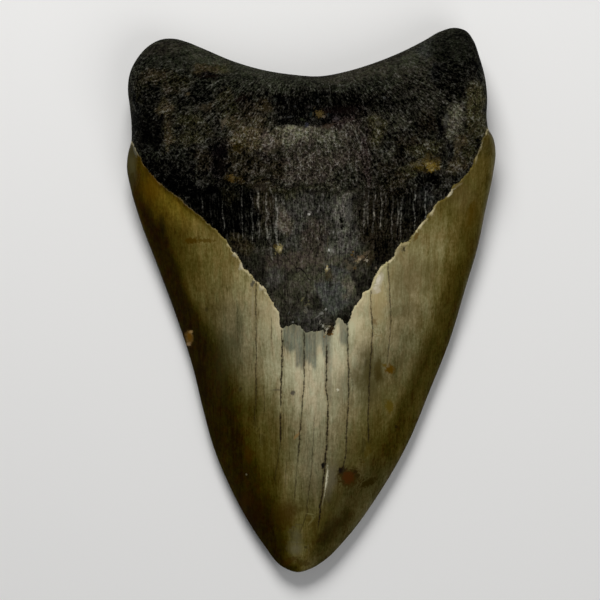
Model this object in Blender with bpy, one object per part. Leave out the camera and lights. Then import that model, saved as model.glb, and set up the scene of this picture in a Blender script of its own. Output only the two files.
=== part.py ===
"""A fossil megalodon tooth, lying on its flat labial face with the rounded lingual face up.

The tooth is one natural piece: root and crown grew together, so it is one solid.
It is a loft between unlike sections. Two sheets, lingual above and labial below, share one
outline. Their sections run across the tooth: a thin lens in the crown, and a thick
pillow with round sides in the root.

Frame: X across the tooth, +Y from the tip to the root, +Z up out of the lingual face.
The origin is at the middle of the footprint, on the surface that the tooth lies on.
"""

import bmesh
import bpy
import numpy as np

MM = 0.001

# Driving dimensions, in metres.
TOOTH_HEIGHT = 134.4 * MM  # tip to the higher root lobe, along Y
TOOTH_WIDTH = 91.0 * MM  # across the shoulders of the crown
ROOT_THICKNESS = 26.5 * MM  # table to the crest of the root's boss

# The outline is drawn at this size, in millimetres, and scaled to the driving dimensions.
DRAWN_HEIGHT = 134.4
DRAWN_WIDTH = 91.0
DRAWN_THICKNESS = 26.5
TIP_Y = -67.2  # drawn

# The outline runs clockwise from the tip: up the left edge, over the two root lobes,
# and down the right edge. Each list holds (x, y) in millimetres.
LEFT_EDGE = [
    (-3.2, -67.2), (-6.9, -65.9), (-11.7, -60.3), (-15.7, -54.2), (-20.3, -45.4), (-24.0, -36.4),
    (-26.5, -27.5), (-29.4, -15.7), (-33.3, -3.8), (-37.7, 8.0), (-42.2, 19.9), (-44.4, 27.3),
    (-45.4, 33.2), (-45.0, 36.7), (-44.3, 39.2), (-44.2, 42.6), (-44.6, 47.6), (-45.1, 52.0),
    (-44.6, 56.0), (-42.9, 59.5),
]  # fmt: skip
ROOT_EDGE = [
    (-40.1, 62.6), (-36.9, 64.3), (-33.6, 64.5), (-30.5, 63.7), (-26.8, 62.2), (-18.9, 58.9),
    (-12.0, 56.9), (-4.6, 55.7), (2.3, 55.3), (8.5, 56.4), (14.6, 58.2), (22.0, 61.1),
    (28.0, 64.1), (31.9, 66.3), (35.6, 67.2), (38.3, 66.4),
]  # fmt: skip
RIGHT_EDGE = [
    (40.0, 64.2), (41.6, 59.9), (43.0, 54.7), (43.5, 50.0), (43.4, 44.6), (43.8, 42.2),
    (45.0, 40.1), (45.6, 36.7), (45.05, 31.5), (43.2, 22.6), (41.35, 13.5), (38.35, 3.3),
    (34.4, -9.8), (29.75, -21.6), (23.5, -36.4), (16.55, -48.3), (8.5, -59.2), (3.75, -64.0),
    (0.1, -66.3),
]  # fmt: skip

# Heights above the table, in millimetres, at distances from the tip along Y.
ALONG = [0.0, 4.0, 10.0, 20.0, 40.0, 59.0, 80.0, 95.0, 106.0, 134.4]
EDGE_HEIGHT = [4.4, 4.2, 3.9, 3.6, 3.4, 3.7, 4.6, 6.0, 7.6, 9.0]
CROWN_BULGE = [0.0, 2.2, 4.6, 7.6, 11.4, 14.2, 16.8, 18.2, 18.4, 18.4]
LABIAL_MIDDLE = [4.4, 2.4, 0.9, -0.1, -0.6, -0.1, 0.9, 1.6, 2.1, 2.4]

LENS_POWER = 2.1  # of the crown's section across the tooth
SHOULDER_FROM, SHOULDER_TO = 34.0, 45.0  # where the thin edge turns into the root's round side
LABIAL_FROM, LABIAL_TO = 28.0, 53.0  # the same turn on the labial side, which is gentler

BOSS_X, BOSS_Y = 1.5, 33.0  # crest of the root's boss on the lingual face
BOSS_RISE, BOSS_REACH_X, BOSS_REACH_Y = 8.2, 27.0, 26.0
LOBE_HEIGHT, LOBE_TAPER = 18.6, 3.6  # lingual height of the root lobes, and its fall to their ends
LOBE_TAPER_FROM, LOBE_TAPER_TO = 44.0, 70.0
LOBE_LIFT = 1.3  # labial rise of the lobes to their ends
ROOT_ROUNDING = 9.0  # plan width of the root's rounding, lingual side
ROOT_ROUND_POWER = 2.3
LABIAL_ROUNDING = 7.5

VALLEY_Y, VALLEY_DEPTH, VALLEY_WIDTH, VALLEY_REACH_X = 47.0, 2.0, 4.2, 26.0
LEDGE_Y, LEDGE_DROP, LEDGE_X, LEDGE_REACH_X = 42.2, 1.5, -0.8, 7.5

BAND_Y, BAND_DROP = 27.5, 0.5  # where the root's porous bone ends, above the enamel line
LOBE_SPREAD = 25.0  # |x| beyond which the labial side of the root touches the table

# The enamel's edge on each face: y at x.
LINGUAL_LINE = [
    (-46, 40), (-43, 35.7), (-40, 31.8), (-35, 27.6), (-27.4, 20.4), (-21.4, 14.4), (-17.7, 11.7),
    (-15.9, 7.3), (-10, 1.6), (-7.8, -3.8), (-7.2, -6.7), (7.2, -6.7), (10.4, -2.6), (14.9, 2.8),
    (18.8, 9.3), (22.6, 13.3), (27.1, 18.4), (33.7, 25.8), (38.6, 31.0), (43.0, 38.6), (46, 44),
]  # fmt: skip
LABIAL_LINE = [
    (-46, 40), (-42, 36), (-34, 34), (-20, 31), (0, 29), (20, 31.5), (34, 35.5), (42, 39), (46, 44),
]  # fmt: skip
ENAMEL_STEP = 0.45  # thickness of the enamel where it stands proud of the root

ACROSS_CELLS = 48
ALONG_CELLS = 50
OUTLINE_SAMPLES = 360


def outline_at(knot):
    """Points of the smooth closed outline; knots 0, 1 and 2 are the tip and the two corners."""
    lists = (LEFT_EDGE, ROOT_EDGE, RIGHT_EDGE)
    loop = np.array(LEFT_EDGE + ROOT_EDGE + RIGHT_EDGE)
    pad = 3
    points = np.concatenate([loop[-pad:], loop, loop[: pad + 1]])
    lengths = np.linalg.norm(np.diff(points, axis=0), axis=1)
    run = np.concatenate([[0.0], np.cumsum(lengths)])
    slopes = np.gradient(points, run, axis=0)
    ends = pad + np.concatenate([[0], np.cumsum([len(part) for part in lists])])
    at = np.interp(knot, np.arange(len(ends)), run[ends])
    i = np.clip(np.searchsorted(run, at, side="right") - 1, 0, len(run) - 2)
    span = run[i + 1] - run[i]
    t = ((at - run[i]) / span)[..., None]
    span = span[..., None]
    return (
        (2 * t**3 - 3 * t**2 + 1) * points[i]
        + (t**3 - 2 * t**2 + t) * span * slopes[i]
        + (3 * t**2 - 2 * t**3) * points[i + 1]
        + (t**3 - t**2) * span * slopes[i + 1]
    )


def smoothstep(low, high, value):
    t = np.clip((value - low) / (high - low), 0.0, 1.0)
    return t * t * (3.0 - 2.0 * t)


def plan(across, along):
    """Plan points of the grid: rows go from the left edge to the right one and sag like the root."""
    left = outline_at(along)
    right = outline_at(3.0 - along)
    top = outline_at(1.0 + across)
    corners = outline_at(np.array([1.0, 2.0]))
    share = across[..., None]
    sag = top - ((1.0 - share) * corners[0] + share * corners[1])
    return (1.0 - share) * left + share * right + sag * smoothstep(0.25, 1.0, along)[..., None]


def distance_to_outline(points):
    """Shortest distance from each plan point to the outline, in millimetres."""
    ring = outline_at(np.linspace(0.0, 3.0, OUTLINE_SAMPLES + 1))
    start, step = ring[:-1], np.diff(ring, axis=0)
    offset = points[..., None, :] - start
    share = np.clip((offset * step).sum(-1) / (step * step).sum(-1), 0.0, 1.0)
    gap = offset - share[..., None] * step
    return np.sqrt((gap * gap).sum(-1).min(-1))


def rounding(distance, width, power):
    """0 at the outline, rising like a quarter of a superellipse to 1 at that width."""
    t = np.clip(distance / width, 0.0, 1.0)
    return (1.0 - (1.0 - t) ** power) ** (1.0 / power)


def enamel_cover(points, line):
    """1 on the enamel and 0 on the root, with a short ramp across the enamel's edge."""
    x_of, y_of = np.array(line, float).T
    border = np.interp(points[..., 0], x_of, y_of)
    return smoothstep(-1.8, 1.8, border - points[..., 1])


def root_relief(x, y):
    """Lingual height of the root before its sides are rounded: boss, valley, ledge and band."""
    boss = np.exp(-(((x - BOSS_X) / BOSS_REACH_X) ** 2) - ((y - BOSS_Y) / BOSS_REACH_Y) ** 2)
    valley = np.exp(-(((y - VALLEY_Y) / VALLEY_WIDTH) ** 2) - ((x - BOSS_X) / VALLEY_REACH_X) ** 2)
    ledge = smoothstep(0.0, 1.6, y - LEDGE_Y) * (1.0 - smoothstep(2.0, 12.0, y - LEDGE_Y))
    ledge = ledge * np.exp(-(((x - LEDGE_X) / LEDGE_REACH_X) ** 4))
    lobe = LOBE_HEIGHT - LOBE_TAPER * smoothstep(LOBE_TAPER_FROM, LOBE_TAPER_TO, y)
    return lobe + BOSS_RISE * boss - VALLEY_DEPTH * valley - LEDGE_DROP * ledge


def undulation(x, y):
    """Gentle natural unevenness of the fossil's surface, within 1 either way."""
    return (
        0.60 * np.sin(0.21 * x + 0.9) * np.sin(0.17 * y + 2.1)
        + 0.40 * np.sin(0.37 * x - 0.11 * y + 0.4) * np.sin(0.29 * y + 0.15 * x)
    )


def heights(points, across, along):
    """Lingual and labial heights above the table, in millimetres."""
    x, y = points[..., 0], points[..., 1]
    from_tip = y - TIP_Y
    edge = np.interp(from_tip, ALONG, EDGE_HEIGHT)
    rim = (across <= 0.0) | (across >= 1.0) | (along >= 1.0) | (along <= 0.0)
    gap = np.where(rim, 0.0, distance_to_outline(points))
    side = np.abs(2.0 * across - 1.0)
    lens = 1.0 - side**LENS_POWER
    root = smoothstep(SHOULDER_FROM, SHOULDER_TO, y + 0.25 * np.abs(x) * (side - 1.0))

    crown_top = edge + np.interp(from_tip, ALONG, CROWN_BULGE) * lens
    root_top = edge + (root_relief(x, y) - edge) * rounding(gap, ROOT_ROUNDING, ROOT_ROUND_POWER)
    lingual = crown_top + (root_top - crown_top) * root
    cover = enamel_cover(points, LINGUAL_LINE)
    band = smoothstep(-1.8, 1.8, BAND_Y - y) * (1.0 - cover)
    inside = smoothstep(0.0, 3.0, gap)
    lingual = lingual + inside * (ENAMEL_STEP * cover - BAND_DROP * band + 0.3 * undulation(x, y))

    root = smoothstep(LABIAL_FROM, LABIAL_TO, y)
    middle = np.interp(from_tip, ALONG, LABIAL_MIDDLE)
    spread = smoothstep(0.0, LOBE_SPREAD, np.abs(x)) * root
    lift = LOBE_LIFT * smoothstep(50.0, LOBE_TAPER_TO, y) - 0.1
    middle = middle + (lift - middle) * spread
    crown_low = middle + (edge - middle) * side**2.4
    root_low = edge - (edge - middle) * rounding(gap, LABIAL_ROUNDING, 2.0)
    labial = crown_low + (root_low - crown_low) * root
    uncovered = 1.0 - enamel_cover(points, LABIAL_LINE)
    labial = labial + inside * ENAMEL_STEP * uncovered * (1.0 - smoothstep(12.0, 30.0, np.abs(x)))
    labial = np.maximum(labial, 0.0)
    return np.where(rim, edge, lingual), np.where(rim, edge, labial)


def grid_parameters(cells):
    """Even steps from 0 to 1, closer together towards both ends."""
    even = np.linspace(0.0, 1.0, cells + 1)
    return 0.55 * even + 0.45 * (0.5 - 0.5 * np.cos(np.pi * even))


def add_sheet(bm, lies_up):
    """One face of the tooth: a square grid whose points are moved to the surface."""
    made = bmesh.ops.create_grid(bm, x_segments=ACROSS_CELLS, y_segments=ALONG_CELLS, size=1.0)
    verts = made["verts"]
    square = np.array([v.co[:2] for v in verts]) * 0.5 + 0.5
    across_steps, along_steps = grid_parameters(ACROSS_CELLS), grid_parameters(ALONG_CELLS)
    across = across_steps[np.rint(square[:, 0] * ACROSS_CELLS).astype(int)]
    along = along_steps[np.rint(square[:, 1] * ALONG_CELLS).astype(int)]
    points = plan(across, along)
    lingual, labial = heights(points, across, along)
    z = lingual if lies_up else labial
    scale = (
        TOOTH_WIDTH / DRAWN_WIDTH,
        TOOTH_HEIGHT / DRAWN_HEIGHT,
        ROOT_THICKNESS / DRAWN_THICKNESS,
    )
    placed = np.column_stack([points, z]) * scale
    for vert, place in zip(verts, placed):
        vert.co = place
    if not lies_up:
        faces = {face for vert in verts for face in vert.link_faces}
        bmesh.ops.reverse_faces(bm, faces=list(faces))


def build_tooth():
    bm = bmesh.new()
    add_sheet(bm, lies_up=True)
    add_sheet(bm, lies_up=False)
    bmesh.ops.remove_doubles(bm, verts=bm.verts, dist=1e-6)
    mesh = bpy.data.meshes.new("tooth")
    bm.to_mesh(mesh)
    bm.free()
    mesh.shade_smooth()
    return bpy.data.objects.new("tooth", mesh)


def fossil_material():
    material = bpy.data.materials.new("fossil")
    material.use_nodes = True
    shader = material.node_tree.nodes["Principled BSDF"]
    shader.inputs["Base Color"].default_value = (0.24, 0.21, 0.12, 1.0)
    shader.inputs["Roughness"].default_value = 0.45
    shader.inputs["Metallic"].default_value = 0.0
    return material


def main():
    for obj in list(bpy.data.objects):
        bpy.data.objects.remove(obj)
    collection = bpy.data.collections.new("megalodon_tooth")
    bpy.context.scene.collection.children.link(collection)
    tooth = build_tooth()
    tooth.data.materials.append(fossil_material())
    collection.objects.link(tooth)


main()
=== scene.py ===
"""Looks of a fossil megalodon tooth: one finely worked surface in place of the plain solid.

Frame: X across the tooth, +Y from the tip to the root, +Z up out of the lingual face.
Shapes are worked out in millimetres and placed in metres.
"""

import math

import bpy
import numpy as np
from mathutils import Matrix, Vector


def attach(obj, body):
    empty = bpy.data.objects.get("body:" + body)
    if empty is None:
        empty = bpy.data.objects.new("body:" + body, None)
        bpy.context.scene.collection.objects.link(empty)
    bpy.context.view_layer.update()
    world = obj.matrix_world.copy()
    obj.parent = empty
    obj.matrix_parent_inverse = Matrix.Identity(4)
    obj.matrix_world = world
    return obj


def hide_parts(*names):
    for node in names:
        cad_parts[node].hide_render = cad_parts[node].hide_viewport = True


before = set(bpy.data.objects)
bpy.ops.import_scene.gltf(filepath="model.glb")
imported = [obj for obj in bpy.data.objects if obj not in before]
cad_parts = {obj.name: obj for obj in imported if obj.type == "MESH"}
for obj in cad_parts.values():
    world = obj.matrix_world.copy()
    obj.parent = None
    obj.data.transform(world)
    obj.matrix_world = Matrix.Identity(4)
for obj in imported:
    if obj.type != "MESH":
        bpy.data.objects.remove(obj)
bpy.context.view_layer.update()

MM = 0.001

# ---------------------------------------------------------------- size and outline, in mm

TIP_Y = -67.2
LEFT_EDGE = [
    (-3.2, -67.2), (-6.9, -65.9), (-11.7, -60.3), (-15.7, -54.2), (-20.3, -45.4), (-24, -36.4),
    (-26.5, -27.5), (-29.4, -15.7), (-33.3, -3.8), (-37.7, 8), (-42.2, 19.9), (-44.4, 27.3),
    (-45.4, 33.2), (-45, 36.7), (-44.3, 39.2), (-44.2, 42.6), (-44.6, 47.6), (-45.1, 52), (-44.6, 56),
    (-42.9, 59.5),
]  # fmt: skip
ROOT_EDGE = [
    (-40.1, 62.6), (-36.9, 64.3), (-33.6, 64.5), (-30.5, 63.7), (-26.8, 62.2), (-18.9, 58.9), (-12, 56.9),
    (-4.6, 55.7), (2.3, 55.3), (8.5, 56.4), (14.6, 58.2), (22, 61.1), (28, 64.1), (31.9, 66.3),
    (35.6, 67.2), (38.3, 66.4),
]  # fmt: skip
RIGHT_EDGE = [
    (40, 64.2), (41.6, 59.9), (43, 54.7), (43.5, 50), (43.4, 44.6), (43.8, 42.2), (45, 40.1),
    (45.6, 36.7), (45.05, 31.5), (43.2, 22.6), (41.35, 13.5), (38.35, 3.3), (34.4, -9.8), (29.75, -21.6),
    (23.5, -36.4), (16.55, -48.3), (8.5, -59.2), (3.75, -64), (0.1, -66.3),
]  # fmt: skip

# Heights above the table at distances from the tip along Y.
ALONG = [0.0, 4.0, 10.0, 20.0, 40.0, 59.0, 80.0, 95.0, 106.0, 134.4]
EDGE_HEIGHT = [4.4, 4.2, 3.9, 3.6, 3.4, 3.7, 4.6, 6.0, 7.6, 9.0]
CROWN_BULGE = [0.0, 2.2, 4.6, 7.6, 11.4, 14.2, 16.8, 18.2, 18.4, 18.4]
LABIAL_MIDDLE = [4.4, 2.4, 0.9, -0.1, -0.6, -0.1, 0.9, 1.6, 2.1, 2.4]

LENS_POWER, LABIAL_POWER = 2.1, 2.4  # of the crown's section across the tooth, on each face
SHOULDER_FROM, SHOULDER_TO = 34.0, 45.0  # Y over which the crown's section turns into the root's
LABIAL_FROM, LABIAL_TO = 28.0, 53.0  # the same on the labial face
ROOT_ROUNDING, ROOT_ROUND_POWER = 9.0, 2.3  # width and shape of the root's rounding
LABIAL_ROUNDING, LABIAL_ROUND_POWER = 7.5, 2.0
LOBE_HEIGHT, LOBE_FALL = 18.6, 3.6
LOBE_SPREAD, LOBE_LIFT = 25.0, 1.3  # labial side of the root
BOSS_X, BOSS_Y, BOSS_REACH_X, BOSS_REACH_Y, BOSS_RISE = 1.5, 33.0, 27.0, 26.0, 8.2
VALLEY_Y, VALLEY_WIDTH, VALLEY_REACH, VALLEY_DEPTH = 47.0, 4.2, 26.0, 2.3
LEDGE_Y, LEDGE_DROP = 42.25, 1.9
ENAMEL_STEP = 0.45  # how far the enamel stands proud of the bone
LINGUAL_CALM, LABIAL_CALM = 2.5, 3.0  # width over which the relief fades out to the outline

# The enamel's edge on each face.
LINGUAL_LINE = [
    (-47, 43), (-44.1, 39.4), (-41.2, 33.5), (-38.2, 29.8), (-37, 28.5), (-32.8, 25.6), (-27.4, 20.9),
    (-24.9, 18.9), (-22.4, 16.4), (-20.4, 14.2), (-19.5, 12.2), (-18.2, 11.5), (-16, 7.5), (-13.5, 5.1),
    (-11.1, 2.8), (-9.8, 0.1), (-7.8, -3.1), (-7.5, -5.6), (-6.9, -7.2), (-6.1, -6.2), (-4.6, -5.9),
    (-2.9, -6.1), (-2.2, -6.7), (-1.8, -7.6), (0.3, -7.7), (2, -7.5), (3, -7), (3.7, -8.2), (4.9, -8.7),
    (5.6, -6.5), (6.5, -4.3), (7.1, -4.1), (7.9, -5), (8.8, -6.2), (9.6, -4.5), (10.4, -1.9), (12.2, 0.6),
    (12.4, 2.1), (14.4, 2.8), (15.3, 4.9), (16.4, 7.4), (18, 9.2), (20.2, 10.5), (20.8, 12.4),
    (22.4, 14.1), (24.2, 14.7), (25.5, 17.2), (27.8, 19.8), (29.4, 21.8), (31.1, 24.2), (33.6, 25.6),
    (34.6, 27.8), (37, 29.6), (39.1, 32), (40.6, 35.7), (42, 39.2), (43.2, 42), (47, 47),
]  # fmt: skip
LABIAL_LINE = [
    (-47, 43), (-42, 37), (-34, 34.5), (-26, 33), (-12, 30.5), (0, 29.5), (12, 30), (24, 32), (34, 35.5),
    (42, 40), (47, 46),
]  # fmt: skip

# Hairline cracks down the enamel: points (x, y) of each, from the root towards the tip.
CRACKS = [
    [(-18.2, -0.1), (-17.8, -11.2)],
    [(-13.4, 5.6), (-13.5, -24.6), (-14.0, -29.5)],
    [(-11.5, -21.1), (-11.5, -28.3)],
    [(-9.7, -4.3), (-9.6, -11.5)],
    [(-7.2, -7.3), (-7.0, -14.0), (-7.4, -22.6), (-7.5, -34.0), (-7.7, -36.4)],
    [(-7.7, -36.4), (-8.5, -41.6), (-8.9, -45.3)],
    [(-5.9, -38.9), (-6.4, -46.3)],
    [(-1.7, -7.8), (-1.6, -17.9), (-2.0, -24.1), (-2.5, -31.0), (-3.1, -37.9), (-3.3, -40.0)],
    [(-3.3, -40.0), (-4.1, -49.3)],
    [(0.9, -28.3), (0.3, -40.4), (-0.5, -46.3), (-0.9, -52.2), (-2.6, -57.4)],
    [(4.0, -11.0), (3.7, -20.4), (4.1, -25.3), (4.1, -32.0), (3.7, -37.9), (2.8, -46.8), (1.9, -55.7)],
    [(9.0, -6.5), (9.2, -15.4), (9.3, -22.6), (8.9, -31.0), (8.6, -37.9), (7.8, -42.4)],
    [(14.5, 2.6), (15.1, -7.3), (14.6, -15.7), (14.3, -22.6), (14.1, -31.0), (14.3, -35.0)],
    [(18.9, 9.2), (19.4, 0.1), (19.6, -4.8), (19.3, -9.7), (18.9, -15.0)],
]  # fmt: skip
CRACK_STRENGTH = [0.4, 0.7, 0.35, 0.5, 1.0, 0.45, 0.4, 0.85, 0.55, 0.5, 1.0, 0.85, 0.8, 0.65]

# The thin split across the slate-grey bone, from left to right.
SPLIT = [
    (-7.2, 12.3), (-6.1, 11.1), (-5.1, 9.4), (-3.6, 8.2), (-2.4, 7.5), (-1.4, 6.8), (-0.5, 5.4), (0.3, 5),
]  # fmt: skip

# Thin ridges down the dark band above the enamel: x at the top, top y, bottom y, height.
RIDGES = [
    (-26.7, 27.3, 21.2, 0.75), (-24.6, 25.6, 19.2, 0.6), (-23.2, 26, 20, 0.3), (-21.7, 24.6, 17.2, 0.95),
    (-19.2, 23.8, 18, 0.45), (-17, 28, 15.2, 0.95), (-15.8, 22, 15.5, 0.35), (-14.6, 27.8, 15, 0.85),
    (-12.8, 26.8, 16.4, 0.9), (-10.9, 26, 15.2, 0.95), (-9.9, 20, 10, 0.4), (-8.5, 27.8, 12.5, 0.8),
    (-6.4, 26, 19, 0.35), (12.9, 27, 15, 0.5), (14.1, 28.2, 17.5, 0.55), (15.6, 28, 16.8, 0.85),
    (17.4, 28.8, 17.8, 1), (18.5, 28.8, 23.9, 0.7), (20.2, 28, 15, 0.7), (21.3, 28, 18.2, 0.95),
    (22.6, 29.5, 15.6, 1), (25.6, 27.6, 18.2, 1), (28.3, 26.8, 20.2, 1), (29.8, 27.4, 23.6, 0.7),
    (31, 28.2, 24.4, 0.75), (32.2, 28.4, 25.2, 0.65), (33.3, 29.4, 26.6, 0.5),
]  # fmt: skip


# ---------------------------------------------------------------- mathematics of the surface


def srgb(red, green, blue):
    """A colour given as it looks on screen, 0 to 255, as the linear values a shader takes."""
    rgb = np.array([red, green, blue]) / 255.0
    linear = np.where(rgb <= 0.04045, rgb / 12.92, ((rgb + 0.055) / 1.055) ** 2.4)
    return (*linear.tolist(), 1.0)


def smoothstep(low, high, value):
    """0 below low, 1 above high, and the cubic 3t^2 - 2t^3 between."""
    t = np.clip((value - low) / (high - low), 0.0, 1.0)
    return t * t * (3.0 - 2.0 * t)


def window(low, full, fall, high, value):
    """0 below low, 1 from full to fall, 0 above high, with a cubic rise and fall between."""
    return smoothstep(low, full, value) * (1.0 - smoothstep(fall, high, value))


def bell(value, width, middle=0.0):
    """1 at the middle, falling on both sides as exp(-t^2), t in widths."""
    return np.exp(-(((value - middle) / width) ** 2))


def outline_at(knot):
    """Points of the closed outline: a cubic Hermite curve through the outline's points, with
    knots 0, 1 and 2 at the tip and at the two corners of the root."""
    lists = (LEFT_EDGE, ROOT_EDGE, RIGHT_EDGE)
    loop = np.array(LEFT_EDGE + ROOT_EDGE + RIGHT_EDGE)
    pad = 3
    points = np.concatenate([loop[-pad:], loop, loop[: pad + 1]])
    lengths = np.linalg.norm(np.diff(points, axis=0), axis=1)
    run = np.concatenate([[0.0], np.cumsum(lengths)])
    slopes = np.gradient(points, run, axis=0)
    ends = pad + np.concatenate([[0], np.cumsum([len(part) for part in lists])])
    at = np.interp(knot, np.arange(len(ends)), run[ends])
    i = np.clip(np.searchsorted(run, at, side="right") - 1, 0, len(run) - 2)
    span = run[i + 1] - run[i]
    t = ((at - run[i]) / span)[..., None]
    span = span[..., None]
    return (
        (2 * t**3 - 3 * t**2 + 1) * points[i]
        + (t**3 - 2 * t**2 + t) * span * slopes[i]
        + (3 * t**2 - 2 * t**3) * points[i + 1]
        + (t**3 - t**2) * span * slopes[i + 1]
    )


def plan(across, along):
    """Plan points: each row runs from the left edge to the right edge, and the rows sag more
    and more like the root's top edge as they near it."""
    left = outline_at(along)
    right = outline_at(3.0 - along)
    top = outline_at(1.0 + across)
    corners = outline_at(np.array([1.0, 2.0]))
    share = across[..., None]
    sag = top - ((1.0 - share) * corners[0] + share * corners[1])
    return (1.0 - share) * left + share * right + sag * smoothstep(0.25, 1.0, along)[..., None]


def distance_to_path(x, y, path):
    """Shortest distance from each point to a path of straight pieces."""
    start, step = path[:-1], np.diff(path, axis=0)
    square = (step * step).sum(-1)
    out = np.empty(x.size, np.float32)
    flat = np.column_stack([x.ravel(), y.ravel()])
    block = 8192
    for low in range(0, x.size, block):
        part = flat[low : low + block]
        dx = part[:, :1] - start[:, 0]
        dy = part[:, 1:] - start[:, 1]
        share = np.clip((dx * step[:, 0] + dy * step[:, 1]) / square, 0.0, 1.0)
        dx -= share * step[:, 0]
        dy -= share * step[:, 1]
        out[low : low + block] = np.sqrt((dx * dx + dy * dy).min(-1))
    return out.reshape(x.shape).astype(float)


def side_of_line(x, y, line):
    """Signed distance to the enamel's edge: positive on the enamel, negative on the root."""
    path = np.array(line, float)
    border = np.interp(x, path[:, 0], path[:, 1])
    return np.sign(border - y) * distance_to_path(x, y, path)


def grain(x, y, seed):
    """Value noise from -1 to 1: random values on a unit lattice, joined by quintic fades."""
    table = np.random.default_rng(seed).random((128, 128)) * 2.0 - 1.0
    column, row = np.floor(x).astype(int), np.floor(y).astype(int)
    fx, fy = x - column, y - row
    fx = fx**3 * (fx * (fx * 6.0 - 15.0) + 10.0)
    fy = fy**3 * (fy * (fy * 6.0 - 15.0) + 10.0)
    c0, c1, r0, r1 = column % 128, (column + 1) % 128, row % 128, (row + 1) % 128
    low = table[c0, r0] * (1 - fx) + table[c1, r0] * fx
    high = table[c0, r1] * (1 - fx) + table[c1, r1] * fx
    return low * (1 - fy) + high * fy


def layered(x, y, seed, layers=4, keep=0.5):
    """Sum of noise layers, each twice as fine as the last and keep times as strong."""
    total, size, scale = 0.0, 1.0, 1.0
    for layer in range(layers):
        turn = 0.6 * layer
        u = (x * math.cos(turn) - y * math.sin(turn)) * scale
        v = (x * math.sin(turn) + y * math.cos(turn)) * scale
        total = total + size * grain(u + 17.3 * layer, v - 9.1 * layer, seed + layer)
        size *= keep
        scale *= 2.0
    return total


def pores(x, y, seed):
    """Distance to the nearest of one random point per unit cell, 0 at the middle of a pore."""
    column, row = np.floor(x).astype(int), np.floor(y).astype(int)
    table = np.random.default_rng(seed).random((128, 128, 2))
    nearest = np.full(x.shape, np.inf)
    for i in (-1, 0, 1):
        for j in (-1, 0, 1):
            jitter = table[(column + i) % 128, (row + j) % 128]
            dx = column + i + jitter[..., 0] - x
            dy = row + j + jitter[..., 1] - y
            nearest = np.minimum(nearest, np.hypot(dx, dy))
    return nearest


def blot(x, y, cx, cy, rx, ry, turn=0.0):
    """A soft oval patch, 1 at its middle, falling as exp(-r^2), turned by degrees."""
    c, s = math.cos(math.radians(turn)), math.sin(math.radians(turn))
    u = ((x - cx) * c + (y - cy) * s) / rx
    v = (-(x - cx) * s + (y - cy) * c) / ry
    return np.exp(-(u * u) - v * v)


SPOT_EDGE, SPOT_GUARD = 1.7, 3.0  # where the third length starts, in half sizes, and how fast it grows


def nearest_spot(x, y, rows):
    """Of a list of oval spots, the one nearest in its own half sizes: the offset from its middle
    along its two axes, a third length that grows outside it and keeps two neighbours from merging,
    its colour as the shader takes it and its strength."""
    best = np.full(x.shape, np.inf)
    place = np.zeros(x.shape + (3,))
    colour = np.zeros(x.shape + (3,))
    strength = np.zeros(x.shape)
    for cx, cy, rx, ry, turn, amount, shade in rows:
        c, s = math.cos(math.radians(turn)), math.sin(math.radians(turn))
        u = ((x - cx) * c + (y - cy) * s) / rx
        v = (-(x - cx) * s + (y - cy) * c) / ry
        reach = np.hypot(u, v)
        near = reach < best
        best = np.where(near, reach, best)
        guard = SPOT_GUARD * np.clip(reach - SPOT_EDGE, 0.0, None)
        place[near] = np.stack([u, v, guard], -1)[near]
        colour[near] = srgb(*shade)[:3]
        strength[near] = amount
    return place, colour, strength


def rounding(distance, width, power):
    """0 at the outline, rising like a quarter of a superellipse to 1 at that width."""
    t = np.clip(distance / width, 0.0, 1.0)
    return (1.0 - (1.0 - t) ** power) ** (1.0 / power)


def ledge_line(x):
    """Height along Y of the groove's lower lip, a line that wanders along X and climbs to the right."""
    wander = 0.25 * grain(x / 1.6, x * 0.0, 5) + 0.10 * grain(x / 0.6, x * 0.0, 6)
    return LEDGE_Y + wander + 1.6 * smoothstep(2.0, 9.0, x)


def ledge_reach(x):
    """1 over the lip's length, falling off past both of its ends."""
    return window(-9.4, -7.6, 5.0, 10.0, x)


def root_relief(x, y):
    """Height of the root before its sides are rounded: a boss, the valley over it, the ledge
    of the nutrient groove, and the lobes' fall to their ends."""
    boss = blot(x, y, BOSS_X, BOSS_Y, BOSS_REACH_X, BOSS_REACH_Y)
    valley = blot(x, y, BOSS_X, VALLEY_Y, VALLEY_REACH, VALLEY_WIDTH)
    above = y - ledge_line(x)
    ledge = window(0.0, 0.7, 2.0, 12.0, above) * ledge_reach(x)
    lobe = LOBE_HEIGHT - LOBE_FALL * smoothstep(44.0, 70.0, y)
    return lobe + BOSS_RISE * boss - VALLEY_DEPTH * valley - LEDGE_DROP * ledge


def nearest_line(x, lines):
    """Signed distance to the nearest of some lines that run down the tooth in order of x. The
    sign of every second line is turned round, so the field has no jump half way between two."""
    off = np.stack([x - line for line in lines])
    k = np.abs(off).argmin(0)
    signed = np.take_along_axis(off, k[None], 0)[0]
    return np.where(k % 2 == 0, signed, -signed), k


def split_field(x, y):
    """Signed distance to the thin split across the slate-grey bone, and its strength."""
    along = np.array(SPLIT).T
    middle = np.interp(x, along[0], along[1]) + 0.30 * grain(x / 0.7, x * 0.0, 171)
    off = (y - middle) * 0.75
    left, right = along[0][0], along[0][-1]
    on = window(left - 0.4, left + 0.4, right - 0.6, right, x) * (1.0 - 0.75 * bell(x, 0.8, -4.7))
    other = x + 8.1 + 0.15 * grain(y / 1.2, y * 0.0, 173) - 0.25 * np.clip(9.5 - y, 0.0, 9.0)
    other_on = 0.7 * window(7.4, 8.2, 11.4, 12.0, y)
    nearer = (np.abs(other) < np.abs(off)) & (other_on > 0.0)
    return np.where(nearer, other, off), np.where(nearer, other_on, on)


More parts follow.
